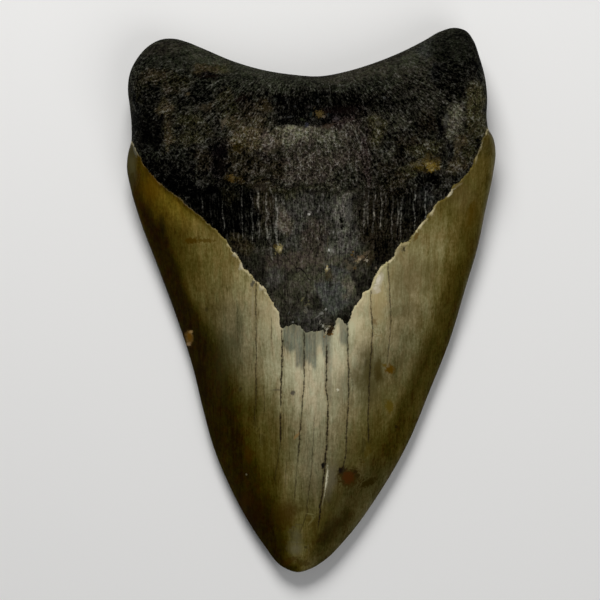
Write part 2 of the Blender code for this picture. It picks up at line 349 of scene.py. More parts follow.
def ridge_field(x, y):
    """Distance to the nearest thin ridge of the dark band, and its height between soft ends."""
    lines, highs = [], []
    for k, (at, top, bottom, high) in enumerate(RIDGES):
        wander = 0.30 * grain(y / 2.6, y * 0.0 + k * 3.7, 40 + k)
        wander = wander + 0.12 * grain(y / 1.1, y * 0.0, 80 + k)
        lines.append(at + wander - 0.02 * at * (top - y) / 10.0)
        ends = window(bottom - 1.2, bottom + 0.6, top - 0.3, top + 0.7, y)
        highs.append(high * ends * (0.85 + 0.22 * grain(y / 1.3, y * 0.0 + k, 60 + k)))
    off, k = nearest_line(x, lines)
    return off, np.take_along_axis(np.stack(highs), k[None], 0)[0]


def crack_field(x, y):
    """Distance to the nearest hairline crack, and its strength between soft ends."""
    lines, depths = [], []
    for k, (path, strength) in enumerate(zip(CRACKS, CRACK_STRENGTH)):
        px, py = np.array(path).T
        wander = 0.10 * grain(y / 2.4, y * 0.0 + k * 2.9, 140 + k)
        lines.append(np.interp(y, py[::-1], px[::-1]) + wander)
        ends = window(py[-1] - 1.5, py[-1] + 1.5, py[0] - 0.4, py[0] + 0.5, y)
        depths.append(strength * ends)
    off, k = nearest_line(x, lines)
    return off, np.take_along_axis(np.stack(depths), k[None], 0)[0]


SCREEN_GAMMA = 2.2  # hues are given as they look on screen
PATCH_SWAY, SWAY_SIZE, PATCH_FILL = 0.9, 2.6, 1.5
DARK_BELOW, DARK_PULL = 0.25, 0.6  # tones under the first are made darker still


def mottling(x, y):
    """Tone and hue of the bone: the ground with oval patches laid over it in order, each full
    inside and falling as exp(-r^4) at its rim, their rims swayed by noise."""
    wx = x + PATCH_SWAY * layered(x / SWAY_SIZE, y / SWAY_SIZE, 11, 4, 0.6)
    wy = y + PATCH_SWAY * layered(x / SWAY_SIZE, y / SWAY_SIZE, 21, 4, 0.6)
    tone = np.full(x.shape, BONE_GROUND)
    hue = np.zeros(x.shape + (3,)) + HUES["grey"]
    for cx, cy, rx, ry, turn, level, name in BONE_PATCHES:
        c, s = math.cos(math.radians(turn)), math.sin(math.radians(turn))
        u = ((wx - cx) * c + (wy - cy) * s) / rx
        v = (-(wx - cx) * s + (wy - cy) * c) / ry
        share = np.clip(PATCH_FILL * np.exp(-((u * u + v * v) ** 2)), 0.0, 1.0)
        tone += (level - tone) * share
        hue += (np.array(HUES[name]) - hue) * share[..., None]
    return tone - DARK_PULL * np.clip(DARK_BELOW - tone, 0.0, None), hue**SCREEN_GAMMA


# The bone's mottling, laid over the ground in this order: x, y, half width, half height, turn,
# tone (0 black to 1 pale) and hue.
HUES = {
    "grey": (1.03, 1.00, 0.84), "moss": (1.00, 1.02, 0.84), "olive": (1.05, 1.00, 0.68),
    "tan": (1.10, 0.98, 0.70), "pink": (1.07, 0.98, 0.85), "gold": (1.16, 0.97, 0.45),
    "blue": (0.99, 1.01, 0.95), "brown": (1.10, 0.98, 0.74), "plum": (1.12, 0.95, 0.88),
    "ash": (1.02, 1.00, 0.91),
}  # fmt: skip
BONE_GROUND = 0.28
BONE_PATCHES = [
    (-35.6, 59.2, 12.2, 6.3, 0, 0.24, "moss"), (-35.6, 62.1, 5.9, 1.2, 12, 0.28, "grey"),
    (-27.6, 60.7, 3.4, 2, -25, 0.36, "moss"), (-25.1, 59, 4.2, 1.7, -25, 0.4, "moss"),
    (-38.6, 54.6, 4.4, 1.5, 0, 0.3, "tan"), (-25.6, 56.5, 4.4, 1.2, -5, 0.37, "tan"),
    (-20.2, 56, 3.4, 1.5, -20, 0.38, "olive"), (-34.4, 52.6, 2, 1.2, 0, 0.33, "olive"),
    (-31.5, 58, 2.4, 1.7, 0, 0.26, "moss"), (-31.5, 53.4, 2.9, 1.5, 0, 0.25, "olive"),
    (-26.8, 52.1, 3.2, 1.7, 8, 0.15, "moss"), (-23.7, 54.6, 2.9, 0.6, 0, 0.1, "plum"),
    (-18.5, 53.4, 5.9, 2.2, 0, 0.29, "moss"), (-13.6, 55.8, 7.3, 1.5, -12, 0.38, "moss"),
    (-5.1, 52.9, 10.3, 2, -3, 0.35, "moss"), (12, 54.8, 10.7, 2, 15, 0.4, "grey"),
    (5.9, 52.1, 9.8, 1.5, 5, 0.32, "moss"), (15.7, 52.9, 6.3, 2, 15, 0.31, "moss"),
    (23, 58.2, 4.4, 2.4, 30, 0.39, "moss"), (29.1, 62.1, 3.7, 1.7, 35, 0.37, "blue"),
    (35.4, 62.1, 5.4, 4.9, 0, 0.2, "moss"), (24.7, 55.6, 4.4, 2, 10, 0.33, "grey"),
    (30.8, 55.6, 2.2, 2, 0, 0.18, "blue"), (35.9, 54.1, 4.9, 3.9, 0, 0.15, "grey"),
    (38.9, 56.3, 2, 2.4, 0, 0.1, "grey"), (41.8, 57.3, 1, 4.9, 0, 0.25, "blue"),
    (25.4, 52.1, 4.2, 1.5, 0, 0.31, "grey"), (40.3, 46.5, 2.9, 7.3, 0, 0.5, "olive"),
    (43.2, 39.2, 1.2, 3.4, 0, 0.52, "olive"), (21.8, 43.6, 10.3, 5.4, 0, 0.26, "grey"),
    (20.5, 43.8, 3.2, 1.7, 0, 0.39, "grey"), (30.3, 48, 3.4, 2.4, 0, 0.3, "grey"),
    (15.9, 41.6, 2, 3.7, 0, 0.42, "olive"), (28.4, 43.3, 2.7, 2.4, 0, 0.2, "brown"),
    (18.3, 35.5, 2, 1.5, 0, 0.45, "grey"), (21, 35, 1.2, 1.7, 0, 0.16, "brown"),
    (24.4, 38.9, 3.2, 2, 0, 0.27, "brown"), (27.9, 37, 3.9, 2, 0, 0.43, "olive"),
    (27.4, 33.1, 3.7, 1.5, -5, 0.58, "gold"), (30.1, 32.8, 1.5, 1.2, 0, 0.74, "gold"),
    (23, 31.1, 2.2, 1.5, 0, 0.46, "olive"), (18.3, 32.1, 2, 1.5, 0, 0.25, "brown"),
    (21.3, 29.2, 2, 1, 0, 0.42, "tan"), (28.6, 29.2, 3.4, 1.5, 0, 0.11, "grey"),
    (34.7, 43.1, 1.9, 4.9, -6, 0.74, "grey"), (31.6, 43.1, 0.6, 3.9, -6, 0.1, "grey"),
    (34.5, 36.8, 1.2, 1.5, 0, 0.14, "blue"), (36.7, 38.5, 1.5, 2.9, -15, 0.6, "tan"),
    (35.7, 32.8, 3.2, 1.7, 45, 0.48, "tan"), (39.1, 36.8, 1.5, 2.4, 0, 0.48, "olive"),
    (13.7, 34.3, 1.2, 7.8, 2, 0.33, "plum"), (16.4, 48, 6.3, 2, 0, 0.15, "grey"),
    (22.7, 47.5, 2.9, 1.5, 0, 0.21, "grey"), (8.1, 47, 5.4, 2.4, 0, 0.15, "plum"),
    (4.7, 49.4, 12.2, 2, 0, 0.18, "grey"), (-3.4, 48.2, 5.9, 2, 0, 0.14, "grey"),
    (2.2, 34.3, 11.2, 8.1, 0, 0.5, "pink"), (8.1, 43.6, 4.4, 1.5, 10, 0.34, "plum"),
    (-3.1, 40.4, 4.2, 1.7, 0, 0.78, "grey"), (-5.6, 38.2, 2.4, 2, 0, 0.7, "grey"),
    (4.7, 38.4, 3.6, 3, 0, 0.62, "grey"), (-0.2, 26.5, 10.3, 1.2, 0, 0.44, "olive"),
    (10, 42.1, 2.4, 1.7, 0, 0.42, "pink"), (-14.4, 39.2, 6.3, 3.7, 0, 0.54, "tan"),
    (-19.3, 43.6, 2.2, 1.7, 0, 0.43, "tan"), (-13.9, 43.8, 2.4, 1.2, -20, 0.4, "tan"),
    (-10.7, 39.4, 2.2, 2.7, 0, 0.63, "pink"), (-22.2, 33.9, 2.1, 4.6, 0, 0.07, "plum"),
    (-17.1, 34.5, 4.4, 1.5, 0, 0.28, "brown"), (-18.3, 36.8, 1.5, 1.2, 0, 0.4, "gold"),
    (-11, 34.8, 2.2, 1.7, 0, 0.37, "pink"), (-14.9, 31.9, 5.4, 1.7, 0, 0.29, "brown"),
    (-8, 32.1, 1.7, 2, 0, 0.32, "brown"), (-18.3, 29.4, 2.4, 1.2, 0, 0.32, "gold"),
    (-11.9, 28.4, 3.4, 1.5, 0, 0.38, "tan"), (-39.8, 43.6, 2.9, 8.5, 0, 0.13, "grey"),
    (-41.7, 51.4, 1.7, 2.9, 0, 0.22, "olive"), (-38.6, 50.2, 2.7, 2, 0, 0.15, "grey"),
    (-43.2, 45.3, 0.7, 7.3, 0, 0.2, "blue"), (-35.2, 46.4, 1.9, 3.4, 0, 0.4, "tan"),
    (-35, 40.4, 1.8, 3.4, 0, 0.52, "tan"), (-33.4, 50.9, 3.2, 1.2, -35, 0.28, "brown"),
    (-30.5, 49.2, 3.9, 2, 0, 0.21, "grey"), (-25.6, 49.9, 1.7, 1.2, 0, 0.11, "moss"),
    (-20.7, 49.4, 2.2, 1.7, 0, 0.3, "olive"), (-16.6, 49.4, 2.2, 1.2, 10, 0.17, "brown"),
    (-25.4, 47.3, 1.7, 1.2, 0, 0.35, "tan"), (-20.2, 46.5, 2.4, 2, 0, 0.28, "olive"),
    (-14.9, 46, 3.9, 2, 30, 0.26, "brown"), (-11.5, 47.5, 1.2, 2.2, 0, 0.34, "tan"),
    (-29.5, 43.6, 3.4, 2, 0, 0.39, "olive"), (-29.3, 39.4, 3.4, 1.7, 0, 0.42, "olive"),
    (-25.6, 40.7, 1.7, 1.5, 0, 0.28, "olive"), (-39.3, 35.3, 3.7, 2.2, -30, 0.25, "moss"),
    (-32.9, 35.5, 3.4, 2, 0, 0.23, "moss"), (-31.5, 31.9, 5.9, 2, -30, 0.16, "grey"),
    (-26.6, 34.3, 2.4, 2.2, 0, 0.24, "brown"), (-25.9, 30.4, 2.2, 1.5, 0, 0.26, "grey"),
    (-21, 21.6, 8.8, 6.3, 0, 0.08, "grey"), (-20.2, 25.3, 2.7, 2.2, 0, 0.2, "olive"),
    (-11.5, 22.8, 2.4, 5.9, 0, 0.29, "brown"), (-14.1, 19.7, 1.7, 3.4, 0, 0.11, "grey"),
    (2.7, 18.4, 11.7, 8.8, 0, 0.48, "ash"), (1.2, 15.6, 3, 5.4, 0, 0.49, "pink"),
    (-6.6, 19.2, 1.7, 3.2, 0, 0.64, "pink"), (2.7, 22.1, 1.5, 2, 0, 0.38, "ash"),
    (8.3, 21.4, 2, 5.9, 0, 0.73, "ash"), (7.4, 12.3, 3.9, 3.9, 0, 0.63, "ash"),
    (7.2, 9, 2.6, 2.2, 0, 0.63, "grey"), (19.3, 21.1, 6.8, 7.8, 0, 0.21, "brown"),
    (24.7, 22.1, 3.9, 2.9, 0, 0.17, "grey"), (28.1, 25.3, 2.2, 2.2, 40, 0.3, "blue"),
    (15.9, 15.3, 3.4, 2.9, 0, 0.25, "brown"), (-16.9, 13.6, 3.4, 2.2, -40, 0.33, "tan"),
    (-11.7, 11.8, 3.2, 2.2, 0, 0.38, "grey"), (-8.3, 9.4, 2.2, 2.2, 0, 0.52, "pink"),
    (11, 8.6, 4.4, 2.9, 35, 0.44, "grey"), (6.1, 5.6, 3.9, 2.4, 0, 0.59, "blue"),
    (13.9, 10.4, 1.5, 2.2, 0, 0.34, "tan"), (17.6, 13.1, 2.4, 2.9, 0, 0.17, "brown"),
    (-2.7, 9.6, 5.9, 2.2, 0, 0.56, "pink"), (-0.2, 4.3, 6.8, 2.9, 0, 0.59, "grey"),
    (4.4, 2.6, 3.4, 2.4, 0, 0.6, "blue"), (-5.1, -0.1, 4.9, 3.4, 0, 0.48, "grey"),
    (6.1, 0.4, 3.7, 3.7, 0, 0.6, "blue"), (9.3, 3.1, 1.7, 3.2, 20, 0.72, "grey"),
    (-5.8, -3.1, 2.9, 2.4, 0, 0.37, "grey"), (0.3, -4.5, 4.2, 2, 0, 0.48, "ash"),
    (-9.3, 5.5, 2.4, 3.2, -35, 0.55, "ash"), (8.7, 30, 2.4, 3.2, 0, 0.38, "grey"),
    (-38.8, 33.1, 2.4, 1.4, -42, 0.05, "grey"), (-34.4, 29.9, 3.4, 2.4, -38, 0.07, "grey"),
    (-30.2, 27, 3.7, 2.9, -35, 0.03, "grey"), (-25.4, 24.5, 3.9, 2.7, -20, 0.05, "grey"),
]  # fmt: skip

# The grain of the bone runs outwards from a point above the root; across it, it is measured as an
# angle times this arm.
GRAIN_X, GRAIN_Y, GRAIN_ARM = 0.0, 70.0, 36.0


# The smoky rims of the enamel at heights STATIONS: how far in from the cutting edge the tone has
# come to a tenth, a half and nearly all of that side's palest tone. The dark rims are partly the
# enamel's smoky colour and partly painted shade where the crown falls away to its edges; the palest
# tones down the middle, about y -25 to -7, are partly cream enamel and partly a painted highlight.
STATIONS = [-64.0, -59.2, -51.7, -44.3, -34.5, -24.6, -14.7, -7.3, 0.1, 7.5, 12.5, 17.4, 22.4, 27.3]
PALE_LEFT = [0.34, 0.34, 0.37, 0.47, 0.56, 0.84, 0.90, 0.84, 0.67, 0.57, 0.47, 0.47, 0.42, 0.40]
PALE_RIGHT = [0.34, 0.34, 0.40, 0.47, 0.56, 0.84, 0.92, 0.84, 0.84, 0.67, 0.62, 0.58, 0.44, 0.36]
LEFT_RIM = [
    [1.0, 4.0, 5.8, 4.4, 7.0, 6.6, 5.0, 5.0, 4.0, 4.2, 3.6, 3.4, 1.0, 0.3],
    [3.0, 6.0, 8.6, 10.8, 12.4, 15.4, 11.2, 10.0, 5.9, 5.7, 5.7, 5.6, 3.2, 1.3],
    [4.4, 8.0, 12.5, 15.5, 22.0, 24.5, 26.0, 23.0, 19.0, 17.0, 11.4, 11.6, 8.0, 6.0],
]
RIGHT_RIM = [
    [0.2, 0.3, 0.4, 0.4, 0.5, 1.0, 2.0, 1.2, 1.0, 0.6, 0.4, 0.3, 0.1, 0.1],
    [1.8, 6.7, 7.4, 9.2, 9.3, 10.6, 11.8, 6.9, 5.8, 4.0, 2.8, 2.5, 1.1, 0.4],
    [4.7, 10.2, 12.4, 16.4, 18.9, 24.4, 24.4, 22.4, 18.4, 15.2, 11.2, 9.2, 6.5, 4.0],
]


# Painted light along the right rim, a highlight on its bevel, and on the shoulder inside it:
# heights, then strengths.
EDGE_LIGHT = (
    [-42.0, -24.0, -14.0, 0.0, 8.0, 12.0, 18.0, 40.0],
    [0.26, 0.12, 0.14, 0.20, 0.20, 0.15, 0.06, 0.12],
)
SHOULDER_LIGHT = (
    [-50.0, -40.0, -32.0, -22.0, -12.0, -5.0, 2.0, 12.0, 20.0],
    [0.03, 0.06, 0.09, 0.15, 0.12, 0.04, 0.11, 0.09, 0.0],
)


def enamel_marks(x, y, left, right, border):
    """Tone of the enamel from 0, dark brown, to 1, cream: for each side a rise in three straight
    steps from its cutting edge in to its palest tone, the two sides multiplied; the dark rims are
    partly painted shade and the pale middle partly a painted highlight. Bell-shaped glows of painted
    light are added along the rims, and smoke at the tip and painted shade under the bone's left
    edge taken off."""

    def down(values):
        return np.interp(y, STATIONS, values)

    def rise(inset, rim):
        first, half, full = (down(line) for line in rim)
        up = 0.1 * np.clip(inset / first, 0.0, 1.0)
        up = up + 0.4 * np.clip((inset - first) / (half - first), 0.0, 1.0)
        return up + 0.5 * np.clip((inset - half) / (full - half), 0.0, 1.0)

    wobble = 0.9 * layered(x / 7.0, y / 16.0, 31, 3)
    middle = smoothstep(-8.0, 8.0, x)
    pale = (1.0 - middle) * down(PALE_LEFT) + middle * down(PALE_RIGHT)
    # Dark rims partly painted shade, the pale middle partly a painted highlight.
    tone = pale * rise(left + wobble, LEFT_RIM) * rise(right + wobble, RIGHT_RIM)
    low_left = smoothstep(-34.0, -40.0, y) * smoothstep(-57.0, -50.0, y)
    band = smoothstep(-34.0, -28.0, y) * smoothstep(8.0, 2.0, y)
    # Painted light: lighter tone along the rims and on the right shoulder.
    glows = (
        (right, 0.0, 2.2 + 2.0 * smoothstep(-24.0, -42.0, y), np.interp(y, *EDGE_LIGHT)),
        (right, 6.9, 2.0, np.interp(y, *SHOULDER_LIGHT)),
        (right, 2.3, 1.2, 0.06 * band),
        (right, 0.0, 0.6, 0.05 + 0.11 * smoothstep(-26.0, 6.0, y)),
        (left, 0.0, 0.6, 0.03),
        (left, 0.0, 1.3 + 2.2 * low_left, 0.03 + 0.05 * low_left),
        (left, 0.0, 1.3, 0.10 * smoothstep(2.0, 18.0, y)),
    )
    for inset, peak, width, gain in glows:
        tone = tone + gain * bell(inset, width, peak)
    tone = tone + 0.09 * bell(y, 3.0, -63.5) * bell(x, 3.0, -2.0)
    smoke = smoothstep(-48.0, -53.0, y) * bell(right, 1.9, 4.4)
    # Painted shade under the bone's left edge.
    shade_under_bone = smoothstep(-20.0, -27.0, x) * smoothstep(35.0, 31.0, y) * bell(np.clip(border, 0.0, None), 0.9)
    return tone * (1.0 - 0.26 * smoke) * (1.0 - 0.55 * shade_under_bone)


def ashen(x, y, left, right):
    """How grey the enamel is: full down the middle of the crown and on the bevels of both rims,
    where the grey is partly a painted highlight, little near the tip and in the warm patch beside
    the right edge of the bone."""
    width = np.interp(y, [-50.0, -34.0, -24.0, -14.0, 0.0], [6.0, 7.5, 11.0, 16.0, 20.0])
    share = np.interp(y, [-54.0, -46.0, -40.0, -10.0, 2.0, 12.0], [0.0, 0.8, 1.0, 1.0, 0.7, 0.4])
    warm = smoothstep(8.0, 12.0, x) * smoothstep(-16.0, -6.0, y) * (1.0 - 0.6 * smoothstep(18.0, 26.0, x))
    middle = share * bell(x, width, 1.0) * (1.0 - 0.8 * warm)
    sides = 0.6 * blot(x, y, -19.0, -11.0, 6.5, 14.0) + 0.5 * blot(x, y, 21.5, -9.0, 6.5, 13.0)
    low_rim = 0.5 * smoothstep(-36.0, -44.0, y) * smoothstep(10.0, 14.0, x - 0.5 * (y + 40.0))
    # Grey on the rims' bevels: partly a painted highlight.
    bevel = (0.6 + 0.4 * smoothstep(-20.0, 4.0, y)) * bell(right, 0.8)
    high = smoothstep(26.0, 31.0, y)
    left_bevel = (0.5 + 0.3 * high) * bell(left, 0.7 + 0.9 * high)
    return np.clip(middle + sides + low_rim + bevel + left_bevel, 0.0, 1.0)


def daggers(x, y):
    """Blue-grey stain under the tip of the bone: blades side by side down the grain, each with
    soft sides and a slanting end that runs from one height at its left to another at its right."""
    total = 0.75 * smoothstep(-11.0, -8.5, y) * (1.0 - smoothstep(5.0, 6.0, np.abs(x + 1.2)))
    for left, right, left_end, right_end, amount in BLADES:
        sway = 0.20 * grain(y / 2.6, y * 0.0 + left, 91)
        across = x + sway
        share = np.clip((across - left) / (right - left), 0.0, 1.0)
        end = left_end + (right_end - left_end) * share + 0.7 * grain(x / 0.45, y * 0.0, 93)
        sides = window(left - 0.25, left + 0.3, right - 0.3, right + 0.25, across)
        total = np.maximum(total, amount * sides * smoothstep(end - 0.5, end + 1.2, y))
    return total


# Left and right side x, left and right end y, strength.
BLADES = [
    (-6.9, -3.5, -12.3, -12.8, 1), (-3.8, -1.6, -16.2, -17, 1), (-1.8, 1.4, -14.4, -17.8, 1),
    (1.1, 2.7, -11.6, -11.2, 0.68), (2.4, 4.6, -12.6, -16.2, 1), (7.1, 9.3, -10, -12.6, 0.9),
    (5.4, 7.6, -6.6, -5.6, 0.8), (3.2, 5.2, -21, -26, 0.45),
]  # fmt: skip


# Crumbs of mineral and holes in the root: x, y, half width, half height, turn, strength, colour.
# The near-black holes are dark partly as painted shade, and the pale crumb at (3.2, 44.8) on the
# nodule is a painted highlight.
CRUMBS = [
    (26.6, 33.8, 0.73, 0.49, -20, 0.75, (84, 74, 50)), (28.8, 35, 0.49, 1.2, 0, 0.5, (76, 62, 34)),
    (24.7, 32.8, 0.59, 0.39, 0, 0.6, (84, 78, 58)), (10, 11.1, 0.29, 0.29, 0, 0.9, (96, 74, 34)),
    (13, 11.4, 0.24, 0.34, 0, 0.85, (96, 84, 62)), (10.8, 7.9, 0.29, 0.39, 0, 0.8, (84, 66, 34)),
    (2, 45.5, 0.78, 0.88, 0, 0.95, (84, 70, 38)), (3.2, 44.8, 0.32, 0.29, 0, 0.9, (92, 82, 68)),
    (3.7, 46, 0.73, 0.39, -20, 0.8, (22, 12, 8)), (-19.3, 29.7, 0.66, 0.75, 0, 0.95, (80, 62, 26)),
    (-17, 29, 0.6, 0.6, -10, 0.3, (54, 42, 30)), (-11.9, 27.7, 1.7, 0.73, 0, 0.5, (58, 50, 40)),
    (-7.8, 12.6, 0.73, 0.98, -10, 1, (136, 124, 82)), (-22.2, 36.2, 1.5, 0.9, 0, 0.9, (9, 5, 6)),
    (-21.9, 32.4, 0.7, 1.9, 0, 0.9, (9, 6, 4)), (-8.5, 13.3, 0.59, 0.49, 0, 0.9, (72, 60, 28)),
    (4, 7.6, 0.42, 0.78, 0, 1, (150, 136, 96)), (4.4, 6.2, 0.73, 1.1, 10, 0.5, (66, 54, 28)),
    (4.8, 3.9, 0.55, 0.8, 0, 0.8, (28, 24, 22)), (1.6, 12.3, 0.16, 1.6, 0, 0.6, (20, 16, 14)),
    (2.9, 16.6, 1, 0.16, -35, 0.6, (30, 26, 18)), (4.1, 14, 0.14, 1.8, 0, 0.7, (74, 68, 50)),
    (9.2, 21.6, 0.7, 2.4, 0, 0.55, (84, 82, 76)), (10.4, 17.4, 0.25, 0.9, 0, 0.8, (14, 12, 9)),
    (12, 10.4, 0.9, 0.6, 30, 0.85, (106, 88, 66)), (11.4, 9.7, 0.4, 0.35, 0, 0.9, (120, 108, 78)),
    (13.6, 9.9, 0.34, 0.34, 0, 0.95, (136, 128, 108)), (14, 11.9, 0.3, 0.7, -20, 0.8, (86, 76, 60)),
    (9.3, 8.2, 0.49, 0.73, 0, 0.7, (94, 86, 68)), (8.6, 9.4, 0.37, 0.49, 20, 0.6, (84, 76, 58)),
    (10.8, 8.4, 0.37, 0.49, -20, 0.6, (90, 82, 64)), (29.3, 32.6, 0.98, 0.95, 5, 1, (136, 112, 44)),
    (28.6, 33.7, 0.4, 0.7, 20, 0.8, (96, 76, 30)), (30.8, 34.3, 0.98, 0.73, 0, 0.6, (70, 58, 32)),
    (28.6, 35.3, 0.7, 0.9, 0, 0.5, (76, 64, 32)), (25.6, 33.2, 1, 0.4, -4, 0.8, (88, 80, 54)),
    (26.6, 33.8, 0.73, 0.44, 0, 0.7, (92, 84, 60)), (-11.2, 47.5, 0.59, 1.5, -10, 0.6, (46, 38, 20)),
    (-30.1, 50.5, 0.6, 0.4, 10, 0.85, (76, 66, 46)), (-21, 43.6, 0.44, 1.5, -25, 0.8, (84, 76, 60)),
    (-26.1, 47, 0.98, 0.73, 0, 0.6, (58, 52, 38)), (-18.3, 36.8, 1.1, 0.85, 0, 0.35, (54, 45, 18)),
    (17.9, 49.4, 0.32, 0.32, 0, 0.9, (88, 88, 84)), (24.2, 43.6, 0.32, 0.32, 0, 0.9, (94, 90, 82)),
    (16.4, 43.1, 0.73, 0.61, 0, 0.6, (80, 76, 64)), (35.9, 38.5, 0.98, 1.5, 15, 0.5, (84, 76, 58)),
    (7.4, 19.7, 0.46, 0.85, 10, 1, (8, 7, 5)), (7.6, 17.9, 0.4, 0.6, 0, 1, (8, 7, 5)),
    (-0.2, 21.4, 0.32, 0.32, 0, 0.9, (112, 108, 100)), (3.9, -4.8, 0.98, 0.61, 0, 0.7, (70, 66, 58)),
    (3.7, -6.5, 0.85, 0.59, 0, 0.9, (80, 76, 60)), (4.9, -7.2, 0.98, 0.88, 0, 0.85, (44, 32, 14)),
    (4.4, -8.4, 0.73, 0.49, 0, 0.8, (96, 72, 36)), (8.3, -4.5, 0.63, 1.2, -12, 0.95, (14, 11, 6)),
    (-2.2, -1.8, 0.98, 0.49, -30, 0.5, (58, 56, 44)), (-24.6, 54.8, 2.6, 0.28, 3, 0.9, (12, 6, 3)),
    (-17.1, 49.2, 1.5, 0.49, 15, 0.85, (14, 6, 5)), (7.8, 46.5, 2.2, 0.98, 0, 0.5, (18, 10, 8)),
    (4.2, 42.4, 1.5, 0.54, 12, 0.6, (66, 52, 40)), (-7.3, 44.6, 0.59, 0.32, 25, 0.7, (72, 70, 62)),
    (-5.1, 44.8, 0.73, 0.24, 10, 0.6, (54, 54, 52)), (-3.9, 47.3, 0.29, 0.29, 0, 0.7, (58, 58, 56)),
    (1.7, 48.7, 0.37, 0.37, 0, 0.75, (62, 62, 58)), (-0.2, 47.3, 0.85, 0.24, 5, 0.6, (40, 36, 34)),
    (-2.2, 44.1, 0.54, 0.29, -15, 0.6, (58, 62, 44)), (0, 45.5, 0.32, 0.54, -20, 0.6, (38, 46, 42)),
    (4.2, 45.5, 0.24, 0.54, 5, 0.6, (46, 50, 50)), (-5.8, 49, 0.54, 0.29, 0, 0.5, (44, 44, 40)),
    (-8.8, 49, 0.44, 0.39, 0, 0.7, (62, 64, 56)), (-1, 42.6, 0.37, 0.49, -30, 0.6, (62, 62, 74)),
    (6.1, 44.3, 0.54, 0.37, -20, 0.6, (82, 74, 74)), (0, 37, 2, 0.61, -5, 0.25, (44, 50, 36)),
    (11, 27.7, 0.39, 0.34, 0, 0.9, (10, 9, 7)), (21, 36.3, 0.73, 0.98, 0, 0.5, (14, 12, 7)),
    (23, 49.7, 0.98, 0.61, 20, 0.4, (50, 48, 42)), (-27.1, 28.7, 0.73, 0.73, 0, 0.6, (62, 60, 54)),
]  # fmt: skip

# Stains on the enamel: the same columns; the near-black one at (3, -40.6) is a small hole, dark
# partly as painted shade. CLOUDS have soft edges; the two pale ones at the tip, (-3.4, -58.2) and
# (-3.6, -61.1), are a painted highlight.
STAINS = [
    (19.4, -17, 1.1, 1.1, 0, 1, (90, 64, 4)), (18.2, -16, 0.73, 0.37, -30, 0.9, (98, 80, 26)),
    (19.3, -26, 1, 1.5, 12, 0.9, (94, 78, 18)), (9.3, -43.5, 2.6, 2.4, 10, 1, (54, 40, 4)),
    (7.9, -41.8, 1.1, 0.73, 0, 0.85, (34, 22, 2)), (7.4, -41.8, 0.64, 0.73, 0, 1, (20, 10, 2)),
    (11.3, -43.2, 0.83, 0.73, 0, 0.95, (44, 33, 3)), (14.2, -45, 2.2, 0.83, 25, 1, (46, 36, 2)),
    (-29.4, 14.7, 1.6, 0.78, -6, 0.9, (74, 52, 0)), (-25.9, 14.7, 2.5, 0.49, -3, 0.8, (82, 62, 6)),
    (-27.6, 15.8, 0.27, 0.86, 0, 0.6, (72, 56, 6)), (-25.7, 11.6, 0.24, 0.98, 0, 0.5, (82, 66, 20)),
    (-4.4, -22.7, 0.59, 0.54, 0, 0.85, (72, 66, 58)), (-8.3, -21.9, 1.2, 0.29, 0, 0.55, (76, 68, 54)),
    (-3.4, -33.2, 1, 0.37, 50, 0.85, (132, 106, 64)), (3, -40.6, 0.47, 0.73, -10, 1, (10, 7, 3)),
    (-1.2, -60.9, 0.39, 0.34, 0, 0.6, (34, 26, 8)), (-30.1, -9.2, 1, 1.7, 8, 0.95, (98, 74, 34)),
    (-5.1, -64.3, 1.7, 0.73, 35, 0.6, (62, 38, 2)), (-1.7, -64.8, 1.7, 0.73, -10, 0.5, (60, 44, 8)),
    (-17.4, -21.9, 0.37, 0.59, 0, 0.6, (48, 40, 20)), (-25.7, -2.3, 0.39, 0.54, 0, 0.5, (50, 40, 18)),
    (3.85, -43.8, 0.18, 2.9, -6, 1, (196, 190, 160)), (3.1, -48.6, 0.14, 1.8, -9, 0.6, (132, 124, 92)),
    (21.1, -31.2, 0.39, 0.34, 0, 0.7, (30, 22, 5)), (15.5, -5.3, 0.59, 0.98, 10, 0.6, (112, 88, 50)),
    (-14.2, -0.9, 0.29, 3.9, 0, 0.5, (152, 140, 110)),
    (-18.3, 11.6, 0.49, 1.1, -38, 0.8, (166, 158, 130)),
    (-16.6, 8.9, 0.64, 1.5, -32, 0.9, (180, 172, 146)), (-14.2, 4.3, 0.49, 0.98, -30, 0.8, (74, 72, 64)),
    (-12, 3.3, 0.59, 0.98, -35, 0.8, (170, 162, 134)), (16.7, 4.8, 0.83, 2, -24, 0.95, (192, 182, 152)),
    (15.7, 2.3, 1.1, 0.73, 20, 0.85, (188, 176, 142)),
    (21.1, 11.9, 0.54, 0.98, -30, 0.6, (160, 148, 112)),
    (19.6, 10.2, 0.98, 0.34, 25, 0.6, (160, 148, 112)),
    (23.1, 13.8, 0.98, 0.29, 20, 0.6, (156, 144, 108)), (22.8, 12.6, 0.34, 0.59, 0, 0.8, (40, 34, 20)),
    (25.8, 15.6, 0.44, 1.2, -25, 0.75, (104, 80, 32)), (27, 18.5, 1.2, 0.29, 42, 0.8, (158, 148, 114)),
    (29.7, 21.7, 1.2, 0.27, 52, 0.8, (160, 150, 116)),
    (34.1, 26.1, 0.98, 0.39, 50, 0.95, (186, 176, 146)), (36.3, 28.3, 1.2, 0.24, 32, 0.6, (140, 126, 90)),
    (40.7, 34.9, 0.27, 1.1, -10, 0.85, (142, 130, 92)), (41.9, 38.8, 0.27, 1.5, -14, 0.6, (112, 100, 66)),
    (-43.3, 37.1, 0.37, 1.7, 14, 0.75, (104, 102, 86)), (-15.2, -37.9, 1.2, 2.2, 0, 0.35, (66, 40, 0)),
    (-12, -34.2, 0.98, 1.7, 0, 0.3, (36, 24, 0)), (-13.7, -30, 0.73, 1.5, 0, 0.3, (30, 20, 0)),
    (14, -37.1, 0.73, 1.7, -12, 0.5, (78, 62, 8)), (13, -35.4, 0.49, 2.2, -5, 0.4, (50, 40, 10)),
    (-17.1, -50.8, 1.2, 2.5, -28, 0.5, (46, 26, 2)),
]  # fmt: skip
